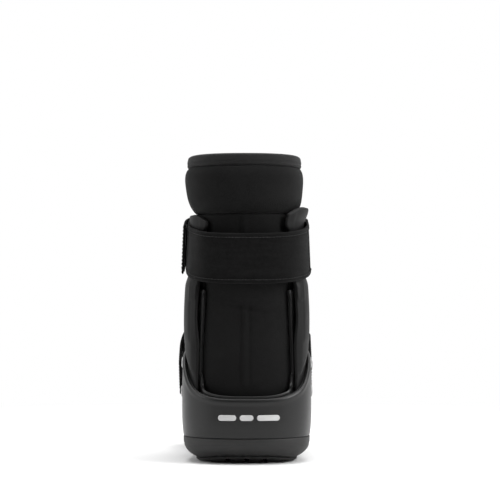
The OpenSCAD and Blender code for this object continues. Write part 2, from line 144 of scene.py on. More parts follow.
shell_lo, shell_hi = corners("shell")
HEEL_W = shell_hi[0]
HEEL_Y = -shell_lo[1]
TOE_Y = shell_hi[1] + 2
SEAM_Z = shell_lo[2]
WING_Z = corners("ankle_frame")[1][2]
BOOT_H = corners("collar_binding")[1][2]
WIDEST_Y = -22
WAIST = [(WIDEST_Y, 0), (5, -0.04), (30, -0.06), (70, -0.055), (120, -0.03), (175, -0.03), (222, 0)]
RIM = [
    (-80, 58), (-73, 59.3), (-61, 65), (-54, 70), (-45, 78.5), (-35, 87), (-15, 97),
    (5, 101), (25, 94), (45, 74), (70, 59), (110, 51), (150, 49), (222, 48),
]
SHELL_T = STRUT_T = FRAME_T = 3.2
GAP = 0.25
FRAME_INSET = SHELL_T + STRUT_T + 5 * GAP
PLAN_BACK, PLAN_FRONT = 2.4, 4


def waist(y):
    return 1 + along(WAIST, y)


def plan(a, inset):
    """The footprint's x and y at an angle, moved in by inset."""
    back, front = HEEL_Y + WIDEST_Y - inset, TOE_Y - WIDEST_Y - inset
    x, y = oval(a, HEEL_W - inset, back, front, PLAN_BACK, PLAN_FRONT)
    y = y + WIDEST_Y
    return x * waist(y), y


def angle_at(x, inset):
    """The angle at which the footprint's back half is x wide."""
    return np.degrees(np.arcsin((x / (HEEL_W - inset)) ** (PLAN_BACK / 2)))


def taper(z):
    """How far the shell's wall draws in, below and above its widest level."""
    low = 1.3 * (np.clip(42 - z, 0, None) / 19) ** 2
    high = 5 * (np.clip(z - 50, 0, None) / 110) ** 1.9
    return low + high


def seam_z(y):
    """Level of the parting line between shell and midsole."""
    return SEAM_Z + 12.8 * ease((y - 100) / 150)


def rocker(y):
    """How far the sole curves up from the floor."""
    back = 7 * (np.clip(-40 - y, 0, None) / (HEEL_Y - 40)) ** 1.8
    front = 18 * (np.clip(y - 78, 0, None) / (TOE_Y - 78)) ** 1.8
    return back + front


def footprint_angles(n):
    """Angles that space the footprint's points evenly."""
    fine = np.linspace(0, 360, 20001)
    s = arc_lengths(np.stack(plan(fine, 0), 1))
    return np.interp((np.arange(n) + 0.5) / n * s[-1], s, fine)


# ---- Mesh building ----

STITCH_L = 2.6
STITCH_R = 0.32


def make(name, verts, faces, material, stands_for=(), body="boot", smooth=True):
    """A piece with the material's slot. It rides on a body, or on none yet when body is None."""
    mesh = bpy.data.meshes.new(name)
    mesh.from_pydata([tuple(v) for v in np.asarray(verts) * MM], [], [tuple(f) for f in faces])
    mesh.validate()
    obj = bpy.data.objects.new(name, mesh)
    bpy.context.scene.collection.objects.link(obj)
    mesh.materials.append(material)
    if smooth:
        mesh.shade_smooth()
    if stands_for:
        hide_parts(*stands_for)
    if body:
        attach(obj, body)
    return obj


def edge_samples(n, length, radius):
    """Shares of a length, crowded at both ends so that a rounded edge has enough points."""
    ends = np.array([0, 0.03, 0.12, 0.28, 0.5, 0.75, 1.0]) * radius / length
    inner = np.linspace(ends[-1], 1 - ends[-1], n)[1:-1]
    return np.concatenate([ends, inner, 1 - ends[::-1]])


def surface_normals(p):
    n = np.cross(np.gradient(p, axis=1), np.gradient(p, axis=0))
    return n / np.maximum(np.linalg.norm(n, axis=-1, keepdims=True), 1e-9)


def edge_rounding(p, radius):
    """1 inside a sheet, falling to nearly 0 along its edges as a quarter round."""
    k = 1
    for axis in (0, 1):
        s = arc_lengths(p, axis)
        d = np.clip(np.minimum(s, np.take(s, [-1], axis=axis) - s) / radius, 0, 1)
        k = k * np.sqrt(np.clip(1 - (1 - d) ** 2, 0.0016, 1))
    return k


def grid_faces(rows, cols, wrap_rows=False, wrap_cols=False):
    """Quads between the points of a grid that is stored row by row."""
    i, j = np.meshgrid(np.arange(rows - (not wrap_rows)), np.arange(cols - (not wrap_cols)), indexing="ij")
    i, j = i.ravel(), j.ravel()
    k, m = (j + 1) % cols, (i + 1) % rows
    return np.stack([i * cols + j, i * cols + k, m * cols + k, m * cols + j], 1)


def sheet_geometry(outer, inner):
    """Vertices and faces of a closed solid between two grids of points."""
    nv, nu = outer.shape[:2]
    front = grid_faces(nv, nu)
    back = nv * nu
    j, top = np.arange(nu - 1), (nv - 1) * nu
    i, side = np.arange(nv - 1) * nu, nu - 1
    walls = (
        (j + 1, j, j + back, j + 1 + back),
        (j + top, j + 1 + top, j + 1 + top + back, j + top + back),
        (i, i + nu, i + nu + back, i + back),
        (i + nu + side, i + side, i + side + back, i + nu + side + back),
    )
    faces = [front, front[:, ::-1] + back] + [np.stack(wall, 1) for wall in walls]
    return np.concatenate([outer.reshape(-1, 3), inner.reshape(-1, 3)]), np.concatenate(faces)


def thick_geometry(p, thickness, radius, puff=None):
    """Solid of even thickness about a grid of middle points. puff adds to its outer side."""
    n = surface_normals(p)
    round_off = edge_rounding(p, radius)[..., None]
    half = thickness / 2 * round_off
    lift = 0 if puff is None else puff[..., None] * round_off
    return sheet_geometry(p + n * (half + lift), p - n * half)


def loft_geometry(rows):
    """Closed rows of points stacked into a solid, capped by a centre point at each end."""
    rows = np.asarray(rows)
    nv, nu = rows.shape[:2]
    verts = np.concatenate([rows.reshape(-1, 3), [rows[0].mean(0)], [rows[-1].mean(0)]])
    j, top = np.arange(nu), (nv - 1) * nu
    k = (j + 1) % nu
    low_cap = np.stack([k, j, np.full(nu, nv * nu)], 1)
    high_cap = np.stack([j + top, k + top, np.full(nu, nv * nu + 1)], 1)
    return verts, [list(f) for part in (grid_faces(nv, nu, wrap_cols=True), low_cap, high_cap) for f in part]


def tube_geometry(path, radius, sides, closed=False, flat=1.0, up=None):
    """Round bar along a path; flat squeezes it across the up direction."""
    path = np.asarray(path, float)
    t = np.roll(path, -1, 0) - np.roll(path, 1, 0) if closed else np.gradient(path, axis=0)
    t /= np.linalg.norm(t, axis=1, keepdims=True)
    if up is None:
        u = np.zeros_like(path)
        ref = np.array([0.3, 0.2, 0.93])
        for i in range(len(path)):
            ref = ref - t[i] * (ref @ t[i])
            ref /= np.linalg.norm(ref)
            u[i] = ref
    else:
        u = up - t * np.sum(up * t, 1, keepdims=True)
        u /= np.linalg.norm(u, axis=1, keepdims=True)
    w = np.cross(t, u)
    b = (np.arange(sides) + 0.5) * 2 * np.pi / sides
    radius = np.broadcast_to(np.asarray(radius, float), (len(path),))
    ring = u[:, None] * (np.cos(b) * flat)[None, :, None] + w[:, None] * np.sin(b)[None, :, None]
    rows = path[:, None] + ring * radius[:, None, None]
    if not closed:
        return loft_geometry(rows)
    return rows.reshape(-1, 3), [list(f) for f in grid_faces(len(rows), sides, True, True)]


def joined(parts):
    """Several (verts, faces) as one."""
    verts, faces, base = [], [], 0
    for v, f in parts:
        verts.append(np.asarray(v))
        faces += [[int(i) + base for i in face] for face in f]
        base += len(v)
    return np.concatenate(verts), faces


def stitches(points, normals, pitch):
    """Geometry of a row of thread stitches lying on a line of surface points."""
    s = arc_lengths(points)
    rise = STITCH_R * 1.1 * np.array([-0.6, 0.45, 0.7, 0.45, -0.6])
    out = []
    for middle in np.arange(pitch / 2, s[-1], pitch):
        p = at_lengths(points, s, middle + np.linspace(-0.5, 0.5, 5) * STITCH_L)
        p = p + at_lengths(normals, s, middle) * rise[:, None]
        out.append(tube_geometry(p, STITCH_R * np.array([0.55, 1, 1, 1, 0.55]), 6))
    return out


def cloth_coords(obj, u, v):
    """Stores per-point fabric coordinates, in millimetres, as a UV map."""
    layer = obj.data.uv_layers.new(name="cloth")
    index = np.zeros(len(obj.data.loops), np.int32)
    obj.data.loops.foreach_get("vertex_index", index)
    uv = np.stack([u, v], 1)[index]
    layer.data.foreach_set("uv", uv.astype(np.float32).ravel())


def cloth_sheet(name, p, thickness, radius, material, stands_for, body, puff):
    """Sheet about a grid of middle points, with fabric coordinates on both of its sides."""
    obj = make(name, *thick_geometry(p, thickness, radius, puff), material, stands_for, body)
    cloth_coords(obj, np.tile(arc_lengths(p, 1).ravel(), 2), np.tile(arc_lengths(p, 0).ravel(), 2))
    return obj


# ---- Materials ----


class Nodes:
    """Small helper round the node tree of a material or the world."""

    def __init__(self, owner):
        owner.use_nodes = True
        self.owner, self.tree = owner, owner.node_tree

    def put(self, value, socket):
        """Links another node's output to an input, or sets the input's own value."""
        if isinstance(value, bpy.types.NodeSocket):
            self.tree.links.new(value, socket)
        else:
            socket.default_value = value

    def add(self, kind, **values):
        """A new node. A value goes to the node's own property, or else to the input of that name."""
        node = self.tree.nodes.new(f"ShaderNode{kind}")
        for key, value in values.items():
            if hasattr(node, key):
                setattr(node, key, value)
            else:
                self.put(value, node.inputs[key.replace("_", " ")])
        return node

    def stretched(self, vector, scale):
        return self.add("Mapping", Vector=vector, Scale=scale).outputs[0]

    def noise(self, vector, size, detail=3.0, rough=0.55):
        return self.add("TexNoise", Vector=vector, Scale=1 / size, Detail=detail, Roughness=rough).outputs[0]

    def ramp(self, fac, low, high, at=(0.3, 0.7)):
        node = self.add("ValToRGB", Fac=fac)
        for element, place, colour in zip(node.color_ramp.elements, at, (low, high)):
            element.position, element.color = place, (*colour, 1)
        return node.outputs[0]

    def math(self, operation, a, b=0.0):
        node = self.add("Math", operation=operation)
        for value, socket in zip((a, b), node.inputs):
            self.put(value, socket)
        return node.outputs[0]

    def blend(self, a, b, share):
        """Sum of a and b, weighted by share and what is left."""
        return self.math("ADD", self.math("MULTIPLY", a, share), self.math("MULTIPLY", b, 1 - share))

    def band(self, fac, low, high):
        return self.add("MapRange", Value=fac, To_Min=low, To_Max=high).outputs[0]

    def bump(self, height, strength, distance, **values):
        return self.add("Bump", Strength=strength, Distance=distance * MM, Height=height, **values).outputs[0]


class Material(Nodes):
    """A material with mm as its coordinates in millimetres. slot is not used."""

    def __init__(self, name, slot):
        super().__init__(bpy.data.materials.new(name))
        self.shader = next(n for n in self.tree.nodes if n.type == "BSDF_PRINCIPLED")
        coords = self.add("TexCoord").outputs["Object"]
        self.mm = self.add("VectorMath", operation="SCALE", Scale=1 / MM, Vector=coords).outputs[0]

    def shade(self, **values):
        for key, value in values.items():
            self.put(value, self.shader.inputs[key.replace("_", " ")])
        return self.owner


def tint(value, warm=0.0):
    return (value * (1 + warm), value, value * (1 - warm * 0.5))


def moulded_plastic(name, slot, value, rough, grain=0.5, wear=0.35, coat=0.0, shine=0.5):
    """Injection moulded plastic: fine spark-eroded grain, soft colour drift and paler worn edges."""
    n = Material(name, slot)
    base = n.ramp(n.noise(n.mm, 38, 4), tint(value * 0.88), tint(value * 1.1))
    point = n.add("NewGeometry").outputs["Pointiness"]
    edges = n.ramp(point, (0, 0, 0), (1, 1, 1), (0.53, 0.6))
    worn = n.math("MULTIPLY", n.math("MULTIPLY", edges, n.noise(n.mm, 3.2, 5)), wear)
    colour = n.add("Mix", data_type="RGBA", Factor=worn, A=base, B=(*tint(value * 2.4 + 0.03), 1))
    fine = n.noise(n.mm, grain, 2, 0.7)
    smear = n.noise(n.mm, 11, 5, 0.6)
    roughness = n.band(n.blend(smear, fine, 0.7), rough - 0.07, rough + 0.09)
    return n.shade(
        Base_Color=colour.outputs["Result"], Roughness=roughness, Normal=n.bump(fine, 0.5, 0.05),
        Coat_Weight=coat, Coat_Roughness=0.25, Specular_IOR_Level=shine,
    )


def weave(n, uv, pitch):
    """Height of a plain weave: two crossed sets of threads."""
    x, y, _ = n.add("SeparateXYZ", Vector=uv).outputs
    k = math.pi / pitch
    a = n.math("ABSOLUTE", n.math("SINE", n.math("MULTIPLY", x, k)))
    b = n.math("ABSOLUTE", n.math("SINE", n.math("MULTIPLY", y, k)))
    turn = n.math("SINE", n.math("MULTIPLY", n.math("ADD", x, y), k))
    over = n.math("GREATER_THAN", turn, 0.0)
    return n.math("ADD", n.math("MULTIPLY", a, over), n.math("MULTIPLY", b, n.math("SUBTRACT", 1.0, over)))


def cloth(name, slot, value, sheen, pitch=0.9, rough=0.85, depth=0.22, on_sheet=True):
    """Knitted or woven cloth: threads, a soft nap and faint wear. on_sheet: the threads follow the sheet."""
    n = Material(name, slot)
    threads = weave(n, n.add("UVMap", uv_map="cloth").outputs[0] if on_sheet else n.mm, pitch)
    nap = n.noise(n.mm, 0.8, 4, 0.7)
    worn = n.blend(threads, n.noise(n.mm, 26, 4), 0.45)
    height = n.math("ADD", threads, n.math("MULTIPLY", nap, 0.35))
    drape = n.bump(n.noise(n.mm, 9, 3), 0.35, 0.8)
    return n.shade(
        Base_Color=n.ramp(worn, tint(value * 0.62), tint(value * 1.3), (0.2, 0.85)),
        Roughness=n.band(nap, rough - 0.08, rough + 0.1), Normal=n.bump(height, 0.75, depth, Normal=drape),
        Sheen_Weight=sheen, Sheen_Roughness=0.45, Specular_IOR_Level=0.12,
    )


def velour(name, slot, value, sheen):
    """Brushed loop tape: a short dense pile with brushed streaks."""
    n = Material(name, slot)
    pile = n.noise(n.mm, 0.45, 3, 0.75)
    clumps = n.noise(n.mm, 2.6, 4, 0.6)
    brushed = n.noise(n.stretched(n.mm, (0.25, 0.25, 1.4)), 5, 4)
    colour = n.ramp(n.blend(clumps, brushed, 0.5), tint(value * 0.6), tint(value * 1.5), (0.32, 0.72))
    height = n.math("ADD", pile, n.math("MULTIPLY", clumps, 0.9))
    return n.shade(
        Base_Color=colour, Roughness=n.band(pile, 0.82, 1.0), Normal=n.bump(height, 0.8, 0.35),
        Sheen_Weight=sheen, Sheen_Roughness=0.5, Specular_IOR_Level=0.08,
    )


def hook_tape(name, slot, value):
    """Rows of tiny moulded hooks."""
    n = Material(name, slot)
    cells = n.add("TexVoronoi", Vector=n.mm, Scale=1 / 1.1, Randomness=0.35).outputs["Distance"]
    colour = n.ramp(cells, tint(value * 1.8), tint(value * 0.5), (0.1, 0.6))
    roughness = n.band(n.noise(n.mm, 2), 0.45, 0.7)
    return n.shade(Base_Color=colour, Roughness=roughness, Normal=n.bump(cells, 1.0, -0.5))


def rubber(name, slot, value, speck, depth, rough):
    """Foam or rubber: fine specks under a film of dust."""
    n = Material(name, slot)
    fine = n.noise(n.mm, speck, 4, 0.65)
    dust = n.noise(n.mm, 17, 5)
    colour = n.ramp(n.blend(fine, dust, 0.4), tint(value * 0.75), tint(value * 1.35, 0.03), (0.3, 0.72))
    roughness = n.band(dust, rough - 0.1, rough + 0.12)
    return n.shade(
        Base_Color=colour, Roughness=roughness, Normal=n.bump(fine, 0.6, depth), Specular_IOR_Level=0.35
    )


def metal(name, slot, value, rough):
    """Drawn steel with fine lines."""
    n = Material(name, slot)
    lines = n.noise(n.stretched(n.mm, (1, 1, 9)), 1.4, 5, 0.7)
    return n.shade(
        Base_Color=n.ramp(n.noise(n.mm, 6, 4), tint(value * 0.8), tint(value)),
        Roughness=n.band(lines, rough - 0.08, rough + 0.14), Normal=n.bump(lines, 0.25, 0.03), Metallic=1.0,
    )


shell_plastic = moulded_plastic("shell_plastic", "shell_plastic", 0.0078, 0.38, coat=0.06, shine=0.29)
strut_plastic = moulded_plastic("strut_plastic", "strut_plastic", 0.0048, 0.5, grain=0.7, shine=0.15)
liner_cloth = cloth("liner_cloth", "liner_fabric", 0.0048, 0.02)
lining_cloth = cloth("lining_cloth", "liner_fabric", 0.012, 0.06, pitch=1.6, depth=0.35)
collar_cloth = cloth("collar_cloth", "liner_fabric", 0.0053, 0.025, pitch=0.8)
binding_cloth = cloth("binding_cloth", "binding_fabric", 0.012, 0.05, pitch=0.7, rough=0.7)
strap_velour = velour("strap_velour", "strap_webbing", 0.005, 0.035)
hooks = hook_tape("hooks", "hook_tape", 0.01)
foam = rubber("sole_foam", "sole_foam", 0.0148, speck=0.9, depth=0.1, rough=0.6)
tread = rubber("tread_rubber", "tread_rubber", 0.01, speck=1.6, depth=0.2, rough=0.8)
rivet_steel = metal("rivet_steel", "rivet_metal", 0.42, 0.3)
ring_steel = metal("ring_steel", "ring_plastic", 0.12, 0.34)
thread = cloth("thread", "strap_webbing", 0.022, 0.05, pitch=0.5, rough=0.6, on_sheet=False)
pale_print = moulded_plastic("pale_print", "badge_paint", 0.5, 0.5, wear=0.1)
insole_cloth = cloth("insole_cloth", "insole_foam", 0.03, 0.1, pitch=1.3)


# ---- Sole ----

SOLE_INSET = 1.3
SOLE_ROUND = 11.5
TREAD_T = 4
TREAD_INSET = SOLE_ROUND + 1.3
LUG_PITCH_X, LUG_PITCH_Y = 16.6, 16.5
LUG_W, LUG_L = 13.8, 13.3
LUG_SLANT = 0.16
LUG_ROUND = 0.3
LUG_PAST_EDGE = 9


def make_midsole():
    angles = footprint_angles(260)
    rows = []

    def row(inset, share, drop=0.0):
        x, y = plan(angles, inset)
        low = rocker(y) + TREAD_T + 0.1
        rows.append(np.stack([x, y, mix(low, seam_z(y), share) - drop], 1))

    for share in np.linspace(0, 0.9, 22):
        groove = 0.35 * np.exp(-(((share - 0.62) / 0.045) ** 2))
        row(SOLE_INSET + SOLE_ROUND * (1 - share) ** 3.4 + groove, share)
    for q in np.radians(np.linspace(0, 90, 7)):
        row(SOLE_INSET + 1.2 * (1 - math.cos(q)), 1.0, 1.2 * (1 - math.sin(q)) + 0.02)
    row(12, 1.0, 0.02)
    make("midsole_body", *loft_geometry(rows), foam, ["midsole"])


def edge_room(points):
    """How far points lie inside the tread's outline."""
    edge = np.stack(plan(footprint_angles(400), TREAD_INSET), 1)
    nearest = edge[np.argmin(np.sum((edge - points[:, None]) ** 2, 2), 1)]
    centre = np.stack([0 * points[:, 0], np.clip(points[:, 1], -20, 160)], 1)
    return np.linalg.norm(nearest - centre, axis=1) - np.linalg.norm(points - centre, axis=1)


def make_tread():
    """Thin rubber base with rounded lugs that follow the rocker."""
    angles = footprint_angles(200)
    rows = []
    for inset, drop in ((0.7, 2.6), (0, 2.0), (0, 0.6), (0.6, 0.05)):
        x, y = plan(angles, TREAD_INSET + inset)
        rows.append(np.stack([x, y, rocker(y) + TREAD_T - drop], 1))
    parts = [loft_geometry(rows)]
    t = np.linspace(0, 2 * np.pi, 28, endpoint=False)
    for y0 in np.arange(-HEEL_Y + 9, TOE_Y - 8, LUG_PITCH_Y):
        for x0 in np.array([-1.5, -0.5, 0.5, 1.5]) * LUG_PITCH_X:
            px = x0 + LUG_W / 2 * spow(np.cos(t), LUG_ROUND)
            py = y0 + LUG_L / 2 * spow(np.sin(t), LUG_ROUND) + LUG_SLANT * np.abs(px)
            outline = np.column_stack([px, py])[::-1]
            room = edge_room(outline)
            if room.min() < -LUG_PAST_EDGE:
                continue
            # a lug that reaches a little past the edge is trimmed back to it
            centre = np.array([x0, y0])
            inward = centre - outline
            pull = np.clip(0.5 - room, 0, None)[:, None]
            outline = outline + inward / np.linalg.norm(inward, axis=1, keepdims=True) * pull
            levels = []
            for shrink, drop in ((0.0, 2.0), (0.0, 3.5), (0.4, 3.95)):
                ring = centre + (outline - centre) * (1 - shrink / 7)
                levels.append(np.column_stack([ring, rocker(ring[:, 1]) + TREAD_T - drop]))
            parts.append(loft_geometry(levels))
    make("tread_lugs", *joined(parts), tread, ["outsole"], smooth=False)


# ---- Shell and frame ----

OPENING_W = 42
OPENING_Z = 59.5
CORNER = 5
EDGE_A = angle_at(OPENING_W, FRAME_INSET)
WING = [(-80, WING_Z), (-10, WING_Z), (8, 128), (24, 98), (36, 84)]
BEAD_R = 2.3


def make_shell():
    angles = footprint_angles(360)
    r = SHELL_T / 2
    rows = []

    def row(inset, z):
        x, y = plan(angles, inset + taper(z))
        rows.append(np.stack([x, y, z], 1))

    def heights(share, inset, low):
        """From the parting line to the middle of the rounded rim."""
        y = plan(angles, inset)[1]
        return mix(seam_z(y) + low, along(RIM, y) - r, share)

    for q in np.radians(np.linspace(0, 90, 5)):
        row(0.9 * (1 - math.sin(q)), heights(0, 0, 0.05 + 0.9 * (1 - math.cos(q))))
    for share in np.linspace(0.03, 1, 26):
        z = heights(share, 0, 0.95)
        lip = 0.45 * ease(1 - np.abs(heights(1, 0, 0) - z - 1.5) / 3.5)
        row(-lip, z)
    for q in np.radians(np.linspace(20, 160, 8)):
        row(r - r * math.cos(q), heights(1, 0, 0) + r * math.sin(q))
    for share in np.linspace(1, 0, 14):
        row(SHELL_T, heights(share, SHELL_T, SHELL_T + 0.4))
    row(SHELL_T + 2, heights(0, SHELL_T, SHELL_T))
    make("shell_cup", *loft_geometry(rows), shell_plastic, ["shell"])


def frame_out(a):
    """How far the frame's outer face lies inside the footprint, against the shell or the struts."""
    return mix(SHELL_T + GAP, FRAME_INSET, ease((np.abs(a) - EDGE_A + 14) / 12))


def frame_top(a):
    """Level of the frame's upper edge: low across the rear opening, then up to the wings."""
    b = np.abs(a)
    low = OPENING_Z + 9 * (b / (EDGE_A - CORNER)) ** 3
    corner = OPENING_Z + 9 + 10 * ((b - EDGE_A + CORNER) / CORNER) ** 2
    side = along(WING, plan(b, FRAME_INSET)[1])
    rise = mix(OPENING_Z + 19, side, np.clip(b - EDGE_A, 0, 1))
    return np.where(b < EDGE_A - CORNER, low, np.where(b < EDGE_A, corner, rise))


def opening_bead():
    """Middle line of the raised rim round the rear opening, from the left wing's top to the right's."""
    a = np.concatenate([np.linspace(0, EDGE_A - 6, 30), np.linspace(EDGE_A - 5.6, EDGE_A, 24)])
    z = frame_top(a)
    lean_in = FRAME_T / 2 * ease((a - EDGE_A + 14) / 12)
    corner = np.stack([*plan(a, frame_out(a) + lean_in + taper(z)), z - 0.7], 1)
    up = np.linspace(OPENING_Z + 22, WING_Z - 2.5, 40)
    inset = FRAME_INSET + FRAME_T / 2 + taper(up)
    rib = np.stack([*plan(angle_at(OPENING_W + 1.6, inset), inset), up], 1)
    right = np.concatenate([corner, rib])
    s = arc_lengths(right)
    right = smooth_path(at_lengths(right, s, np.linspace(0, s[-1], 130)), 6)
    return np.concatenate([right[:0:-1] * [-1, 1, 1], right])


def bead_radius(path):
    """Slimmer along the heel than up the sides, and rounded off at both ends."""
    end = (1 - np.abs(np.linspace(-1, 1, len(path)))) * len(path) / 2
    size = mix(0.62, 1.0, ease((path[:, 2] - 64) / 18))
    return BEAD_R * size * np.sqrt(np.clip(1 - (1 - np.clip(end / 3.5, 0, 1)) ** 2, 0.02, 1))


def make_ankle_frame():
    half = np.concatenate([
        np.linspace(0, EDGE_A - 6, 26)[1:], np.linspace(EDGE_A - 5.7, EDGE_A, 14),
        EDGE_A + np.linspace(0.1, 1, 8), np.linspace(EDGE_A + 2, 88, 26), np.linspace(88.6, 93.3, 26),
    ])
    angles = np.concatenate([-half[::-1], [0], half])
    top = frame_top(angles) - 0.6
    foot = SEAM_Z + SHELL_T + GAP
    shares = np.concatenate([np.linspace(0, 0.9, 26), [0.93, 0.96, 0.98, 0.99, 0.995, 1]])
    z = foot + (top - foot) * shares[:, None]
    x, y = plan(angles[None, :], frame_out(angles)[None, :] + FRAME_T / 2 + taper(z))
    wall = thick_geometry(np.stack([x, y, z], 2)[:, ::-1], FRAME_T, FRAME_T / 2)
    bead = opening_bead()
    outward = bead * [1, 1, 0] - [0, WIDEST_Y + 10, 0]
    rim = tube_geometry(bead, bead_radius(bead), 24, flat=0.62, up=outward)
    make("ankle_frame_ribs", *joined([wall, rim]), shell_plastic, ["ankle_frame"])


# ---- Struts ----

STRUT_FOOT = 42
# keys by height: half width, middle, reach behind and in front of it, and half width where it is swollen
STRUT_W = [
    (42, 54.6), (52, 54.6), (75, 54.3), (95, 53.5), (106, 53.2), (127, 55.6), (143, 54.8), (160, 53.4),
    (185, 52), (205, 50.9), (222, 50.4), (232, 50.4),
]
STRUT_Y = [(42, -22), (110, -22), (180, -14), (232, -10)]
STRUT_BACK = [(42, 51.6), (95, 50.6), (110, 50.4), (150, 48.8), (180, 49), (232, 49.5)]
STRUT_REACH = [(42, 26), (110, 26), (150, 18), (232, 16)]
STRUT_LEVEL = [(100, 56.0), (127, 56.3), (143, 56.0), (160, 55.0), (172, 52.6)]
HEAD_REACH = 0.34


def strut_surface(side, t, z, inset, flare):
    """Strut's surface: t is -1 at its rear edge and 1 at its front edge, flare opens the head."""
    w = along(STRUT_W, z) - inset + flare * ease((z - 212) / 16)
    cy = along(STRUT_Y, z)
    a = np.radians(90 + 38 * np.minimum(t, 0))
    back = cy - (along(STRUT_BACK, z) - inset) * spow(np.cos(a), 0.833)
    y = np.where(t < 0, back, cy + along(STRUT_REACH, z) * t)
    x = w * np.where(t < 0, spow(np.sin(a), 0.833) * waist(cy), waist(np.maximum(y, WIDEST_Y)))
    return np.stack([side * x, y, z], -1)


def make_strut(side, node, flare):
    t = np.concatenate([np.linspace(-1, -0.9, 8), np.linspace(-0.88, 0.88, 44), np.linspace(0.9, 1, 8)])
    v = np.concatenate([np.linspace(0, 0.96, 110), np.linspace(0.963, 1, 10)])
    tt, vv = np.meshgrid(t[::side], v)
    head_z = corners(node)[1][2] - 0.3
    z = mix(STRUT_FOOT, head_z - 10.5 * np.abs(tt + 0.1) ** 3.2, vv)
    # the head's rear edge reaches further round the leg, and lies on the liner
    wide = np.where(tt < 0, 1 + HEAD_REACH * ease((z - 196) / 16), 1)
    inset = STRUT_T / 2 - 2.2 * np.clip(-tt * wide - 1, 0, 1) / HEAD_REACH
    p = strut_surface(side, tt * wide, z, inset, flare)
    ridge = 0.7 * ease((0.62 - np.abs(tt + 0.15)) / 0.12) * ease((z - 104) / 8) * ease((165 - z) / 8)
    block = 0.9 * ease((-0.6 - tt) / 0.12) * ease((z - 143) / 3) * ease((159 - z) / 3)
    # above the shell's rim the strut swells until it's level with the shell
    swell = np.clip(along(STRUT_LEVEL, z) - along(STRUT_W, z), 0, None)
    swell = swell * ease((z - along(RIM, p[..., 1]) - 2) / 9) * ease((tt + 1.02) / 0.25)
    panel = thick_geometry(p, STRUT_T, STRUT_T / 2, ridge + block + swell)
    make(f"{node}_panel", *panel, strut_plastic, [node])


def make_hook_pads():
    """Hook tape on both struts, under the rear strap. The left one stands for the node of both."""
    for side, name, nodes in ((-1, "left", ["hook_pads"]), (1, "right", [])):
        tt, vv = np.meshgrid(np.linspace(-0.97, 0.97, 60)[::side], np.linspace(0, 1, 30))
        p = strut_surface(side, tt, mix(172.5, 199.5, vv) + 5 * tt, -0.42, 0)
        make(f"hook_pad_{name}", *thick_geometry(p, 0.6, 0.3), hooks, nodes)


# ---- Padded fabric ----

SIM_FRAMES = 20
INNER_SWELL = 0.3
CLOTH = {
    "quality": 6, "mass": 0.2, "tension_stiffness": 4, "compression_stiffness": 4, "shear_stiffness": 2,
    "bending_stiffness": 0.1, "use_pressure": True, "vertex_group_mass": "held", "pin_stiffness": 1,
}
# thickness, pressure inside, and the furthest that a point may move
PADDING = {
    "collar_pad": (7.4, 90, 1.9),
    "tongue_pad": (4.2, 120, 1.6),
    "foot_liner": (5.6, 30, 1.3),
    "shin_flap_pad": (3.0, 200, 1.0),
    "forefoot_flap_pad": (2.5, 200, 1.0),
    "instep_cushion": (4.4, 160, 0.8),
}
swelling = []


def padded(name, p, material, node, body="boot", sewn=None, puff=None):
    """Padded cloth piece about a coarse grid of middle points. It's inflated by swell_all, and held along its
    edges and wherever sewn is 1."""
    thickness, pressure, cap = PADDING[name]
    obj = cloth_sheet(name, p, thickness, thickness * 0.55, material, [node], None, puff)
    held = np.zeros(p.shape[:2]) if sewn is None else np.array(sewn, float)
    held[0], held[-1], held[:, 0], held[:, -1] = 1, 1, 1, 1
    swelling.append((obj, body, np.tile(held.ravel(), 2), pressure, cap))
    return obj


def add_cloth(obj, held, pressure):
    group = obj.vertex_groups.new(name="held")
    for i in np.nonzero(held > 0.02)[0]:
        group.add([int(i)], float(held[i]), "REPLACE")
    modifier = obj.modifiers.new("cloth", "CLOTH")
    for key, value in CLOTH.items():
        setattr(modifier.settings, key, value)
    modifier.settings.uniform_pressure_force = pressure
    modifier.settings.effector_weights.gravity = 0
    modifier.collision_settings.use_collision = False
    modifier.point_cache.frame_start, modifier.point_cache.frame_end = 1, SIM_FRAMES


def points_of(mesh):
    co = np.zeros(len(mesh.vertices) * 3, np.float32)
    mesh.vertices.foreach_get("co", co)
    return co.reshape(-1, 3)


def simulate():
    """Runs the cloth simulation of all padded pieces together and keeps its capped result."""
    scene = bpy.context.scene
    scene.frame_start, scene.frame_end = 1, SIM_FRAMES
    for obj, _, held, pressure, _ in swelling:
        add_cloth(obj, held, pressure)
    for f in range(1, SIM_FRAMES + 1):
        scene.frame_set(f)
    graph = bpy.context.evaluated_depsgraph_get()
    moved = [points_of(obj.evaluated_get(graph).data) for obj, *_ in swelling]
    for (obj, _, _, _, cap), end in zip(swelling, moved):
        obj.modifiers.clear()
        obj.vertex_groups.clear()
        start = points_of(obj.data).astype(float)
        step = end - start
        far = np.maximum(np.linalg.norm(step, axis=1, keepdims=True), 1e-9)
        step *= np.minimum(1, cap * MM / far)
        # the inner face lies on the foot or leg, and swells less
        step[len(start) // 2:] *= INNER_SWELL
        obj.data.vertices.foreach_set("co", (start + step).astype(np.float32).ravel())
        obj.data.update()
    scene.frame_set(1)


def swell_all():
    """Inflates the padded pieces, smooths them by one subdivision and puts them on their bodies."""
    simulate()
    for obj, body, *_ in swelling:
        finer = obj.modifiers.new("finer", "SUBSURF")
        finer.levels = finer.render_levels = 1
        graph = bpy.context.evaluated_depsgraph_get()
        source = obj.evaluated_get(graph)
        mesh = bpy.data.meshes.new_from_object(source, preserve_all_data_layers=True, depsgraph=graph)
        obj.modifiers.clear()
        obj.data = mesh
        mesh.shade_smooth()
        if body:
            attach(obj, body)


# ---- Liner ----

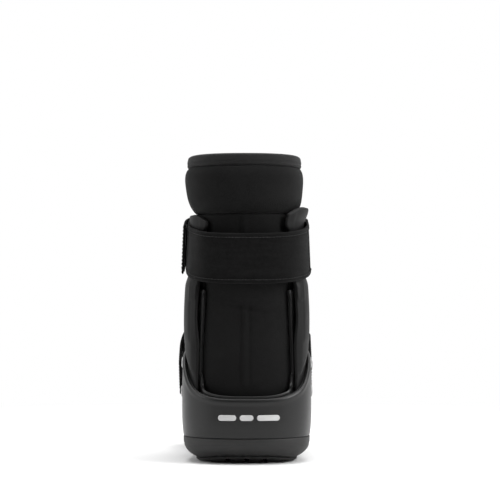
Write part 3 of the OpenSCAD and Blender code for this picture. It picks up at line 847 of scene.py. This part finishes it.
# keys by height: the leg's middle, half width, back and front, and how far the collar stands out from them
LEG_Y = [(28, -22), (100, -22), (150, -17), (222, -8), (280, -6)]
LEG_W = [
    (28, 46.6), (60, 46.4), (85, 46), (100, 45.6), (108, 45.5), (150, 42.7), (170, 43.2), (200, 44.4),
    (222, 45), (280, 46),
]
LEG_BACK = [(28, -66.4), (60, -66.3), (100, -65.6), (150, -62.4), (200, -60), (222, -59), (280, -58)]
LEG_FRONT = [(28, 50), (100, 48), (150, 47), (222, 43), (280, 44)]
COLLAR = [(222, 0), (233, 4.2), (244, 5.8), (257, 6.9), (264, 4.7), (266, 5.5), (275, 4.3)]
HEM_Z = 264.6
LINER_T = 6
LEAN = -1.0
BACK_SEAM = -1.3
LEG_HALF = 149
# y, z, lean, sag and half width, from the toes up
TONGUE = [
    (150, 68, 80, 6, 28), (120, 73.5, 78, 7, 29), (95, 80, 72, 8, 27), (74, 89, 60, 8, 24),
    (58, 101, 48, 8, 21), (47, 117, 28, 8, 21), (40.5, 138, 14, 8, 21), (37, 165, 6, 9, 22),
    (35, 200, 3, 12, 25), (34, 240, 1, 13, 27), (34, 258, 0, 13, 27),
]
FOOT_TOP = [(30, 111), (56, 110), (70, 100), (90, 92), (130, 81), (190, 71)]
FOOT_CENTRE = 20
SLEEVE_ROOM = 43.5
FOOT_ROOM = SHELL_T + 3


def leg_surface(a, z, grow):
    """The liner's outer surface round the leg. The leg leans a little to the left, more at the collar."""
    cy = along(LEG_Y, z)
    back, front = cy - along(LEG_BACK, z) + grow, along(LEG_FRONT, z) - cy + grow * 0.6
    x, y = oval(a, along(LEG_W, z) + grow, back, front, 2.4, 2.2)
    lean = LEAN * (ease((z - 150) / 60) + 1.1 * ease((z - 222) / 24))
    return np.stack([x + lean, y + cy, z + 0 * a], -1)


def leg_angles(n, radius):
    """Angles round the leg, from one front edge of the liner to the other."""
    return (edge_samples(n, 290, radius) * 2 - 1) * LEG_HALF


def make_liner():
    z = 30 + edge_samples(130, 191, 3) * (221.6 - 30)
    aa, zz = np.meshgrid(leg_angles(190, 3), z)
    p = leg_surface(aa, zz, -LINER_T / 2)
    seam = (aa - BACK_SEAM) * 0.8
    welt = 1.5 * bump_line(seam, 1.0) - 0.7 * bump_line(np.abs(seam) - 2.4, 0.9)
    welt = welt * ease((zz - 66) / 6) * ease((148 - zz) / 12)
    upper = (0.9 * bump_line(seam - 0.6, 1.2) - 0.8 * bump_line(seam + 2.2, 1.4)) * ease((zz - 200) / 5)
    sides = 0
    for at in (-58, 58):
        sides = sides - 1.3 * bump_line((aa - at) * 0.8, 1.3) * ease((zz - 100) / 10)
    crease = zz - 137 + 2.2 * np.sin(np.radians(aa * 5)) + (aa - BACK_SEAM) * 0.12
    swell = zz - 143 + 1.5 * np.sin(np.radians(aa * 4 + 40))
    fold = 0.8 * bump_line(swell, 3.0) * bump_line(aa - 6, 30)
    fold = fold - 1.2 * bump_line(crease, 2.2) * bump_line(aa, 26)
    puff = 0.7 * wander(aa, zz, 3) + welt + upper + sides + fold
    cloth_sheet("liner_sleeve", p, LINER_T, 2.8, liner_cloth, ["liner_leg", "liner_heel"], "boot", puff)


def make_collar():
    z = np.concatenate([[221.7, 222.3, 223.4], np.linspace(225.5, 260.5, 11), [262.8, 264.2, 264.9]])
    aa, zz = np.meshgrid(leg_angles(74, 4), z)
    half = PADDING["collar_pad"][0] / 2
    p = leg_surface(aa, zz, along(COLLAR, zz) - half + 1.3 * ease((zz - 222) / 8))
    folds = 0.5 * wander(aa * 1.6, zz * 1.8, 11) + 0.3 * wander(aa * 3.5, zz * 2.2, 12)
    for at, high, size in ((-64, 250, 16), (38, 246, 20), (80, 254, 14), (-20, 240, 22)):
        folds = folds - 0.8 * bump_line(aa - at, size) * bump_line(zz - high, 4.5)
    seam = bump_line((aa - BACK_SEAM) * 0.85, 2.4) * ease((236 - zz) / 10)
    puff = (folds - seam * 0.7) * ease((zz - 223) / 8)
    padded("collar_pad", p, collar_cloth, "liner_collar", sewn=seam, puff=puff)
    z = HEM_Z + edge_samples(22, 10.6, 2.6) * (BOOT_H - 0.1 - HEM_Z)
    aa, zz = np.meshgrid(leg_angles(200, 4), z)
    p = leg_surface(aa, zz, along(COLLAR, zz) - 2.3)
    puff = 0.35 * wander(aa * 2.4, zz, 14) - 0.5 * bump_line(zz - 267.2, 0.8)
    cloth_sheet("collar_hem", p, 6.4, 3.0, binding_cloth, ["collar_binding"], "boot", puff)


def make_tongue():
    """Quilted tongue about its curved spine."""
    keys = np.array(TONGUE, float)
    s = arc_lengths(keys[:, :2])
    at = edge_samples(64, s[-1], 3) * s[-1]
    y, z, lean, sag, half = (along(np.stack([s, keys[:, i]], 1), at)[:, None] for i in range(5))
    u = (edge_samples(13, 50, 3)[::-1] * 2 - 1)[None, :]
    drop = 2.6 + sag * u**2
    p = np.stack([u * half, y - drop * np.cos(np.radians(lean)), z - drop * np.sin(np.radians(lean))], -1)
    place = at[:, None] - 2.5 * u**2
    quilt = 0 * place
    for line in np.arange(14, s[-1] - 8, 18):
        quilt = np.maximum(quilt, bump_line(place - line, 1.5))
    quilt = quilt * ease((0.86 - np.abs(u)) / 0.1)
    sewn = np.maximum(quilt, bump_line((1 - np.abs(u)) * half - 4.5, 1.2))
    padded("tongue_pad", p, lining_cloth, "tongue", sewn=sewn, puff=-sewn)


def foot_half_width(y):
    reach = np.clip((y - WIDEST_Y) / (TOE_Y - FOOT_ROOM - WIDEST_Y), 0, 0.999)
    wide = (HEEL_W - FOOT_ROOM) * waist(y) * (1 - reach**4) ** 0.25
    # behind the frame's front edge it tucks inside the leg sleeve
    return mix(SLEEVE_ROOM, wide, ease((y - 38) / 18))


def make_foot_liner():
    y = 34 + edge_samples(38, 152, 3)[::-1] * (186 - 34)
    aa, yy = np.meshgrid((edge_samples(64, 250, 3) * 2 - 1) * 153.5, y)
    cz = seam_z(yy) + SHELL_T + GAP + FOOT_CENTRE
    grow = -LINER_T / 2 - 0.3
    top = along(FOOT_TOP, yy) - cz + grow
    x, h = oval(aa, foot_half_width(yy) + grow, FOOT_CENTRE + grow, top, 6, 2.3)
    p = np.stack([x, yy, cz + h], -1)
    sewn = np.maximum(bump_line(np.abs(aa) - 146, 1.6), bump_line(yy - 177, 1.6))
    for line in (60, 100, 140):
        sewn = np.maximum(sewn, bump_line(yy - line, 1.3))
    puff = 0.5 * wander(aa, yy, 21) - 0.9 * sewn
    padded("foot_liner", p, liner_cloth, "liner_foot", sewn=sewn, puff=puff)


def make_insole():
    angles = footprint_angles(200)
    inset = FRAME_INSET + FRAME_T + LINER_T + 1.2
    low = SHELL_T + LINER_T + 8
    levels = [(1.2, 0.05), (0, 1.2), (0, 3.3)]
    levels += [(1.3 * (1 - math.cos(q)), 3.3 + 1.2 * math.sin(q)) for q in np.linspace(0.3, 1.57, 5)]
    rows = []
    for grow, lift in levels + [(4, 4.4), (12, 3.6), (22, 3.3)]:
        x, y = plan(angles, inset + grow)
        y = np.where(y > 0, y * 0.92, y)
        rows.append(np.stack([x, y, seam_z(y) + low + lift], 1))
    verts, faces = loft_geometry(rows)
    cloth_coords(make("insole_pad", verts, faces, insole_cloth, ["insole"]), verts[:, 0], verts[:, 1])


# ---- Straps ----

BAR_R = 1.6
STRAP_T = 1.8
HOOK_T = 0.8
HOOK_GAP = 0.06
LANDING_T = 0.8
LOOP_R = BAR_R + 0.08 + STRAP_T / 2
LOOP_TURN = 222
LOOP_TAIL = LOOP_R + 2.1
UNDER = STRAP_T * 1.02
BAND_STEP, BAND_TURN = 1.8, 9
SEWN_STEP = 1.5
SEWN_LIFT = STRAP_T / 2 + 0.1
ANKLE_DEPTH = 70
ANKLE_END = 14.0


class Strap:
    """One strap's own frame: x to the right, y forward and up, z along its rings' bars.

    y, z and tilt place the frame on the boot. side, crown and power give the arch's half width, height and
    squareness. fixed and moving are the levels of the ring's bars, end and chafe_end of the bands' ends.
    """

    def __init__(self, name, tilt, landing, snug=0, **values):
        vars(self).update(values)
        self.name, self.snug = name, snug
        self.tilt = math.radians(tilt)
        self.left = self.side + landing + HOOK_T + 2 * HOOK_GAP

    def world(self, p):
        c, s = math.cos(self.tilt), math.sin(self.tilt)
        x, y, z = p[..., 0], p[..., 1], p[..., 2]
        # a snug strap is drawn in on the left, most at its upper edge
        x = x + self.snug * (1 + 0.6 * z / (self.width / 2)) * ease((-x - 36) / 14)
        return np.stack([x, self.y + y * c - z * s, self.z + y * s + z * c], -1)

    def arch(self, a, w, crown=None, power=None):
        a, k = np.radians(a), 2 / (power or self.power)
        return np.stack([w * spow(np.cos(a), k), (crown or self.crown) * spow(np.sin(a), k)], -1)

    def start_angle(self):
        return math.degrees(math.asin((self.moving / self.crown) ** (self.power / 2)))

    def moving_bar(self):
        a = self.start_angle()
        d = self.arch(a + 1, self.side) - self.arch(a, self.side)
        d = d / np.linalg.norm(d)
        return self.arch(a, self.side) - LOOP_R * np.array([d[1], -d[0]])

    def fixed_bar(self):
        return np.array([self.side - LOOP_R, self.fixed])


ankle = Strap(
    "ankle", tilt=11, landing=STRAP_T, snug=1.75, y=0, z=194.7, width=44.8, side=55.3, crown=57, power=2.3,
    fixed=16, moving=30, end=-24,
)
instep = Strap(
    "instep", tilt=35, landing=LANDING_T, y=19.8, z=83.9, width=38, side=58.4, crown=63, power=2.5,
    fixed=23, moving=36, end=-20, chafe_end=-22,
)
forefoot = Strap(
    "forefoot", tilt=76, landing=LANDING_T, y=114, z=48, width=38, side=58.1, crown=44.5, power=2.6,
    fixed=9.5, moving=20.5, end=-15, chafe_end=-17,
)


def with_z(path, z):
    """A path's points in the strap's frame, at z."""
    return np.column_stack([path, np.broadcast_to(z, len(path))])


def swept(path, across):
    """A path swept over the levels across the strap, as a grid of points."""
    return np.stack([with_z(path, z) for z in across])


def path_normals(path):
    """Unit vectors to the outer side of a path."""
    d = np.gradient(path, axis=0)
    d /= np.linalg.norm(d, axis=1, keepdims=True)
    return np.stack([d[:, 1], -d[:, 0]], 1)


def resampled(path, step=SEWN_STEP, bend=None):
    """Path with a point every step, and more where it turns: one for each bend, in degrees."""
    path = np.asarray(path, float)
    s = arc_lengths(path)
    pace = s / step
    if bend:
        d = np.diff(path, axis=0)
        d /= np.maximum(np.linalg.norm(d, axis=1, keepdims=True), 1e-9)
        turn = np.degrees(np.arccos(np.clip(np.sum(d[1:] * d[:-1], 1), -1, 1)))
        at_points = np.concatenate([[0], turn, [0]])
        pace = pace + np.concatenate([[0], np.cumsum((at_points[1:] + at_points[:-1]) / 2)]) / bend
    n = max(3, int(round(pace[-1])) + 1)
    return at_lengths(path, s, np.interp(np.linspace(0, pace[-1], n), pace, s))


def with_fine_ends(path, radius):
    """Path with extra points crowded at its two ends, for rounded strap ends."""
    s = arc_lengths(path)
    extra = np.array([0.03, 0.12, 0.3, 0.55, 0.8]) * radius
    return at_lengths(path, s, np.unique(np.concatenate([s, extra, s[-1] - extra])))


def loop_path(centre, start, towards):
    """Round a bar, to where the layer sewn under the strap leaves it. start is the outer tangent point, and
    towards the direction in which the strap leaves it."""
    out = (np.asarray(start) - centre) / LOOP_R
    q = np.radians(np.linspace(0, LOOP_TURN, 29))[:, None]
    return centre + LOOP_R * (out * np.cos(q) - np.asarray(towards) * np.sin(q))


def strap_piece(
    k, name, path, body, node, width=None, thick=STRAP_T, material=strap_velour,
    wobble=0.25, ridge=0.45, shape=None
):
    """Flat strap along a path, with bound edges and a slightly uneven face."""
    width = width or k.width
    path = with_fine_ends(resampled(path, BAND_STEP, BAND_TURN), thick)
    across = (edge_samples(34, width, thick) - 0.5) * width
    grid = swept(path, across)
    if shape:
        grid = shape(grid)
    s, z = arc_lengths(grid, 1)[:1], across[:, None]
    edge = np.abs(z) - (width / 2 - 2.0)
    bound = ridge * bump_line(edge, 1.4) - 0.25 * bump_line(edge + 2.6, 0.8)
    puff = bound + wobble * wander(s * 1.4, z * 3, 31 + len(name))
    cloth_sheet(name, k.world(grid), thick, thick / 2, material, [node], body, puff)


def stitch_line(k, name, rows, body, lift=SEWN_LIFT, pitch=3.4, shape=None):
    """Rows of stitches lifted off the strap's middle line. A row is its points and their outward vectors."""
    parts = []
    for at, out in rows:
        if shape:
            at = shape(at)
        points = k.world(at)
        normals = k.world(at + out) - points
        parts += stitches(points + normals * lift, normals, pitch)
    make(name, *joined(parts), thread, body=body)


def rows_along(path, edge):
    """Stitch rows along both of the strap's edges."""
    return [(with_z(path, z), with_z(path_normals(path), 0)) for z in (-edge, edge)]


def row_across(path, distance, width):
    """Stitch row across the strap, at a distance from the path's start, or from its end if it's negative."""
    s = arc_lengths(path)
    t = np.full(30, distance if distance > 0 else s[-1] + distance)
    z = np.linspace(-width / 2, width / 2, 30)
    return with_z(at_lengths(path, s, t), z), with_z(at_lengths(path_normals(path), s, t), 0)


def moving_loop(k, line):
    """The layer sewn under the free strap, and the loop from there round the moving bar."""
    bar = k.moving_bar()
    d = line[1] - line[0]
    turn = loop_path(bar, line[0], d / np.linalg.norm(d))[::-1]
    inner = resampled(line[:18] - path_normals(line)[:18] * UNDER)
    inner = inner[np.linalg.norm(inner - bar, axis=1) > LOOP_TAIL][:12][::-1]
    return smooth_path(np.concatenate([inner, turn[:-1]]), 2)


def fixed_loop(k, reach, n):
    """The loop round the fixed bar, and the layer sewn under the band from there."""
    turn = loop_path(k.fixed_bar(), [k.side, k.fixed], [0.0, -1.0])
    down = np.linspace(k.fixed - LOOP_TAIL, k.fixed - reach, n)
    return np.concatenate([turn[1:-1], np.stack([np.full(n, k.side - UNDER), down], 1)])


def make_free_strap(k, node):
    """From its loop round the moving bar, over the front and down to its free end."""
    body = f"{k.name}_strap_body"
    right = k.arch(np.linspace(k.start_angle(), 90, 40), k.side)
    middle = k.left + STRAP_T / 2
    left = k.arch(np.linspace(92, 180, 40), middle)
    main = np.concatenate([right, left, [[-middle, k.end]]])
    path = np.concatenate([moving_loop(k, right), main])
    strap_piece(k, f"{k.name}_strap_band", path, body, node)
    line, sewn, edge = resampled(main), k.width - 7, k.width / 2 - 3.4
    rows = [row_across(main, d, sewn) for d in (5.5, 8.2, 17)] + rows_along(line[:14], edge)
    rows += [row_across(line, d, sewn) for d in (-4.0, -7.0, -19.0)] + rows_along(line[-13:-2], edge)
    stitch_line(k, f"{k.name}_strap_stitches", rows, body)
    # hook patch under the free end
    x = -k.left + HOOK_GAP + HOOK_T / 2
    strap_piece(
        k, f"{k.name}_hook_patch", [[x, -1.0], [x, k.end + 1]], body, f"{k.name}_hook_tab", k.width - 4,
        HOOK_T, hooks, wobble=0, ridge=0,
    )


def make_chafe(k):
    """Short riveted band with its loop round the fixed bar, and the landing patch on the other side."""
    line = resampled([[k.side, k.chafe_end], [k.side, k.fixed]])
    path = smooth_path(np.concatenate([line, fixed_loop(k, 16, 10)]), 1)
    strap_piece(k, f"{k.name}_chafe_band", path, "boot", f"{k.name}_chafe")
    rows = [row_across(line, d, k.width - 7) for d in (-5.5, -8.4)] + [row_across(line, 3.2, k.width - 6)]
    rows += rows_along(line[2:-4], k.width / 2 - 3.4)
    stitch_line(k, f"{k.name}_chafe_stitches", rows, "boot")
    x = -k.side - LANDING_T / 2 + STRAP_T / 2
    strap_piece(
        k, f"{k.name}_landing_patch", [[x, -1.0], [x, k.end - 2.0]], "boot", f"{k.name}_landing",
        thick=LANDING_T, wobble=0, ridge=0.1,
    )


def rear_strap_shape(grid):
    """The wrap hangs a little wider at its lower edge, and stands out more on the right."""
    x, y, z = (grid[..., i] for i in range(3))
    lower = -z / (ankle.width / 2)
    right = ease((2 - y) / 22) * ease(x / 30) * (1.5 + 1.3 * lower)
    left = ease((-30 - y) / 16) * ease(-x / 30) * (0.8 * lower)
    back = ease((-52 - y) / 12) * 0.9 * lower
    return np.stack([x + (right - left), y - back, z], -1)


def make_rear_strap():
    k = ankle
    back = np.stack(oval(np.linspace(-90, 90, 150), k.side, ANKLE_DEPTH, ANKLE_DEPTH, 3, 3), 1)
    main = np.concatenate([[[-k.side, ANKLE_END]], back, [[k.side, k.fixed]]])
    path = smooth_path(np.concatenate([main, fixed_loop(k, 18, 12)]), 1)
    strap_piece(k, "ankle_strap_wrap", path, "boot", "ankle_strap", wobble=0.35, shape=rear_strap_shape)
    line = resampled(main)
    rows = [row_across(line, d, k.width - 7) for d in (-5.5, -8.2, -46, -49, 40, 43)]
    rows += rows_along(line, k.width / 2 - 3.6)
    stitch_line(k, "ankle_wrap_stitches", rows, "boot", SEWN_LIFT + 0.05, 3.0, rear_strap_shape)


def rounded_loop(a, b, reach, radius):
    """Closed rounded rectangle through two parallel bars, in a strap's frame."""
    span = np.linalg.norm(b - a)
    far, high = span - radius, reach - radius
    corner = []
    for cx, cz, start in ((far, high, 0), (radius, high, 90), (radius, -high, 180), (far, -high, 270)):
        for q in np.radians(np.linspace(start, start + 90, 9)):
            corner.append([*(a + (b - a) / span * (cx + radius * math.cos(q))), cz + radius * math.sin(q)])
    out = []
    for p, after in zip(np.array(corner), np.roll(corner, -1, 0)):
        n = max(1, int(np.linalg.norm(after - p) / 2.5))
        out += [p + (after - p) * t for t in np.arange(n) / n]
    return np.array(out)


def make_ring(k):
    a, b = k.fixed_bar(), k.moving_bar()
    loop = rounded_loop(a, b, k.width / 2 + BAR_R + 0.7, 1.7)
    outward = np.array([(b - a)[1], -(b - a)[0], 0]) / np.linalg.norm(b - a)
    verts, faces = tube_geometry(loop, BAR_R * 0.97, 16, closed=True, up=outward)
    make(f"{k.name}_ring_bar", k.world(verts), faces, ring_steel, [f"{k.name}_ring"], f"{k.name}_ring_body")


# ---- Rivets and badge ----

STRUT_RIVET_Y = -20
STRUT_RIVET_Z = (62, 88)
CHAFE_RIVET_Z = (-11, 11)
BADGE_Z = 41.5
BADGE_BARS = ((-25, -9), (-6, 6), (9, 29))
BADGE_HALF = 2.5


def rivet_head(centre, outward, radius, height, dimple):
    """Domed head with a dimple in its middle."""
    axis = np.array(outward, float)
    ref = np.cross(axis, [0.0, 0.3, 1.0])
    ref /= np.linalg.norm(ref)
    other = np.cross(axis, ref)
    q = np.linspace(0, math.pi / 2, 9)[:-1]
    brim = 0.35
    r = radius * np.concatenate([[0.94, 1], np.cos(q) ** 0.8, [0.06]])
    h = np.concatenate([[0, brim / 2], brim + (height - brim) * np.sin(q), [height]])
    h -= dimple * np.exp(-((r / (radius * 0.38)) ** 2))
    b = np.arange(36)[:, None] * 2 * np.pi / 36
    turn = np.cos(b) * ref + np.sin(b) * other
    return loft_geometry([centre + axis * hi + ri * turn for ri, hi in zip(r, h)])


def make_rivets():
    parts = []
    for side in (-1, 1):
        for z in STRUT_RIVET_Z:
            x = (HEEL_W - taper(z)) * waist(STRUT_RIVET_Y) * side
            parts.append(rivet_head(np.array([x, STRUT_RIVET_Y, z]), [side, 0, 0], 5.0, 1.5, 0.5))
    make("strut_rivet_heads", *joined(parts), rivet_steel, ["strut_rivets"])
    parts = []
    for k in (instep, forefoot):
        for z in CHAFE_RIVET_Z:
            centre = k.world(np.array([k.side + STRAP_T / 2, k.chafe_end + 8, z]))
            parts.append(rivet_head(centre, [1, 0, 0], 4.3, 1.5, 0.45))
    make("strap_rivet_heads", *joined(parts), rivet_steel, ["strap_rivets"])


def make_badge():
    """Three plain pale bars with rounded ends on the back of the heel."""
    parts = []
    for x0, x1 in BADGE_BARS:
        x = np.linspace(x0, x1, 40)
        room = np.clip(np.minimum(x - x0, x1 - x) / BADGE_HALF, 0, 1)
        h = BADGE_HALF * np.sqrt(np.clip(1 - (1 - room) ** 2, 0.02, 1))
        z = BADGE_Z + np.linspace(-1, 1, 9)[:, None] * h
        a = np.sign(x) * angle_at(np.abs(x), 0)
        p = np.stack([*plan(a[None, :], -0.35 + taper(z)), z], 2)
        parts.append(thick_geometry(p, 0.7, 0.5))
    make("heel_bars", *joined(parts), pale_print, ["heel_badge"])


# ---- Flaps and cushion ----


def make_flap(k, node, side, crown, power, half_angle, low, high):
    """Padded flap under a strap. Also returns two points on it, from its hinge inwards."""
    name = f"{node}_pad"
    a = 90 + half_angle * (edge_samples(24, 100, 3) * 2 - 1)
    line = k.arch(a, side, crown, power)
    middle = line + path_normals(line) * (PADDING[name][0] / 2 + 0.05)
    across = low + edge_samples(13, high - low, 3) * (high - low)
    grid = swept(middle, across)
    s, z = arc_lengths(grid, 1)[:1], across[:, None]
    inset = np.minimum(np.minimum(s, s.max() - s), np.minimum(z - low, high - z))
    sewn = bump_line(inset - 5.0, 1.3)
    for c in np.linspace(low + 13, high - 13, 3):
        sewn = np.maximum(sewn, bump_line(z - c, 1.2) * ease((inset - 6) / 3))
    puff = 0.25 * wander(s * 1.2, z * 2, 41) - 0.6 * sewn
    flap = padded(name, k.world(grid), liner_cloth, node, None, sewn, puff)
    hinge, inner = k.world(with_z(line[[0, len(line) // 8]], (low + high) / 2))
    return flap, hinge, hinge + (inner - hinge) * 0.9


def make_instep_pad():
    k = instep
    line = k.arch(60 + 60 * edge_samples(14, 66, 2.4), k.side)
    line = line - path_normals(line) * (STRAP_T / 2 + 2.7)
    across = (edge_samples(9, k.width - 1, 2.4) - 0.5) * (k.width - 1)
    padded("instep_cushion", k.world(swept(line, across)), lining_cloth, "instep_pad", "instep_strap_body")


# ---- All the pieces ----

make_midsole()
make_tread()
make_shell()
make_ankle_frame()
make_strut(-1, "strut_left", flare=0)
make_strut(1, "strut_right", flare=4.6)
make_liner()
make_collar()
make_tongue()
make_foot_liner()
make_insole()
make_rear_strap()
make_free_strap(ankle, "ankle_strap_free")
make_free_strap(instep, "instep_strap")
make_free_strap(forefoot, "forefoot_strap")
make_chafe(instep)
make_chafe(forefoot)
for strap in (ankle, instep, forefoot):
    make_ring(strap)
make_rivets()
make_badge()
make_hook_pads()
flaps = (
    make_flap(ankle, "shin_flap", side=47.5, crown=50, power=2.2, half_angle=44, low=-40, high=13),
    make_flap(forefoot, "forefoot_flap", side=50, crown=39, power=2.4, half_angle=50, low=-26, high=26),
)
make_instep_pad()
swell_all()
for (flap, start, end), body in zip(flaps, ("shin_flap_body", "forefoot_flap_body")):
    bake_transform(flap)


# ---- Floor, light and camera ----

WORLD_DIM = 0.06
WORLD_BRIGHT = 0.8
LAMPS = [
    ("key", (1.5, -0.55, 1.1), (0.9, 1.3), 32),
    ("left_fill", (-1.5, -0.45, 0.8), (0.9, 1.3), 9.3),
    ("top", (0.0, 0.1, 1.9), (1.6, 1.6), 36),
]
LAMP_AIM = Vector((0, 0, 0.14))
CAMERA_X = 0.003
CAMERA_D = 1.6
CAMERA_Z = 0.150
AIM_Z = 0.1905
LENS = 125.3
SENSOR = 36


def staged(name, data):
    """A new object that belongs to the stage and not to the boot."""
    obj = bpy.data.objects.new(name, data)
    bpy.context.scene.collection.objects.link(obj)
    return obj


def floor_material():
    """Pale paper that fades into the white surroundings."""
    n = Material("floor_paper", None)
    colour = n.ramp(n.noise(n.mm, 300, 2), (0.86, 0.86, 0.86), (0.88, 0.88, 0.88))
    n.shade(Base_Color=colour, Roughness=n.band(n.noise(n.mm, 20), 0.7, 0.8))
    away = n.add("VectorMath", operation="LENGTH", Vector=n.mm).outputs["Value"]
    fade = n.add("MapRange", interpolation_type="SMOOTHSTEP", Value=away, From_Min=260, From_Max=800)
    seen = n.add("LightPath").outputs["Is Camera Ray"]
    layers = n.add("MixShader", Fac=n.math("MULTIPLY", fade.outputs[0], seen))
    n.put(n.shader.outputs[0], layers.inputs[1])
    n.put(n.add("Emission").outputs[0], layers.inputs[2])
    output = next(k for k in n.tree.nodes if k.type == "OUTPUT_MATERIAL")
    n.put(layers.outputs[0], output.inputs["Surface"])
    return n.owner


def make_floor():
    mesh = bpy.data.meshes.new("floor")
    mesh.from_pydata([(-9, -9, 0), (9, -9, 0), (9, 9, 0), (-9, 9, 0)], [], [(0, 1, 2, 3)])
    mesh.materials.append(floor_material())
    staged("floor", mesh)


def make_world():
    """Pale all round, dimmer on the side that the boot's back faces."""
    world = bpy.context.scene.world = bpy.data.worlds.new("studio")
    n = Nodes(world)
    y = n.add("SeparateXYZ", Vector=n.add("TexCoord").outputs["Generated"]).outputs["Y"]
    fade = n.add(
        "MapRange", interpolation_type="SMOOTHSTEP", Value=y, From_Min=-0.75, From_Max=0.35,
        To_Min=WORLD_DIM, To_Max=WORLD_BRIGHT,
    )
    seen = n.add("LightPath").outputs["Is Camera Ray"]
    background = n.tree.nodes["Background"].inputs
    n.put((1, 1, 1, 1), background["Color"])
    n.put(n.math("MAXIMUM", fade.outputs[0], seen), background["Strength"])


def make_lights():
    for name, at, size, power in LAMPS:
        light = bpy.data.lights.new(name, "AREA")
        light.shape = "RECTANGLE"
        light.size, light.size_y = size
        light.energy = power
        lamp = staged(name, light)
        lamp.location = at
        lamp.rotation_euler = (LAMP_AIM - Vector(at)).to_track_quat("-Z", "Y").to_euler()


def place_camera():
    camera = bpy.data.cameras.new("camera")
    camera.lens, camera.sensor_width = LENS, SENSOR
    camera.clip_start, camera.clip_end = 0.05, 30
    camera.shift_y = (AIM_Z - CAMERA_Z) / (CAMERA_D * SENSOR / LENS)
    obj = bpy.data.objects.new("camera", camera)
    bpy.context.scene.collection.objects.link(obj)
    obj.location = (CAMERA_X, -CAMERA_D, CAMERA_Z)
    obj.rotation_euler = (math.radians(90), 0, 0)
    bpy.context.scene.camera = obj
    bpy.context.scene.view_settings.view_transform = "Standard"


make_floor()
make_world()
make_lights()
place_camera()
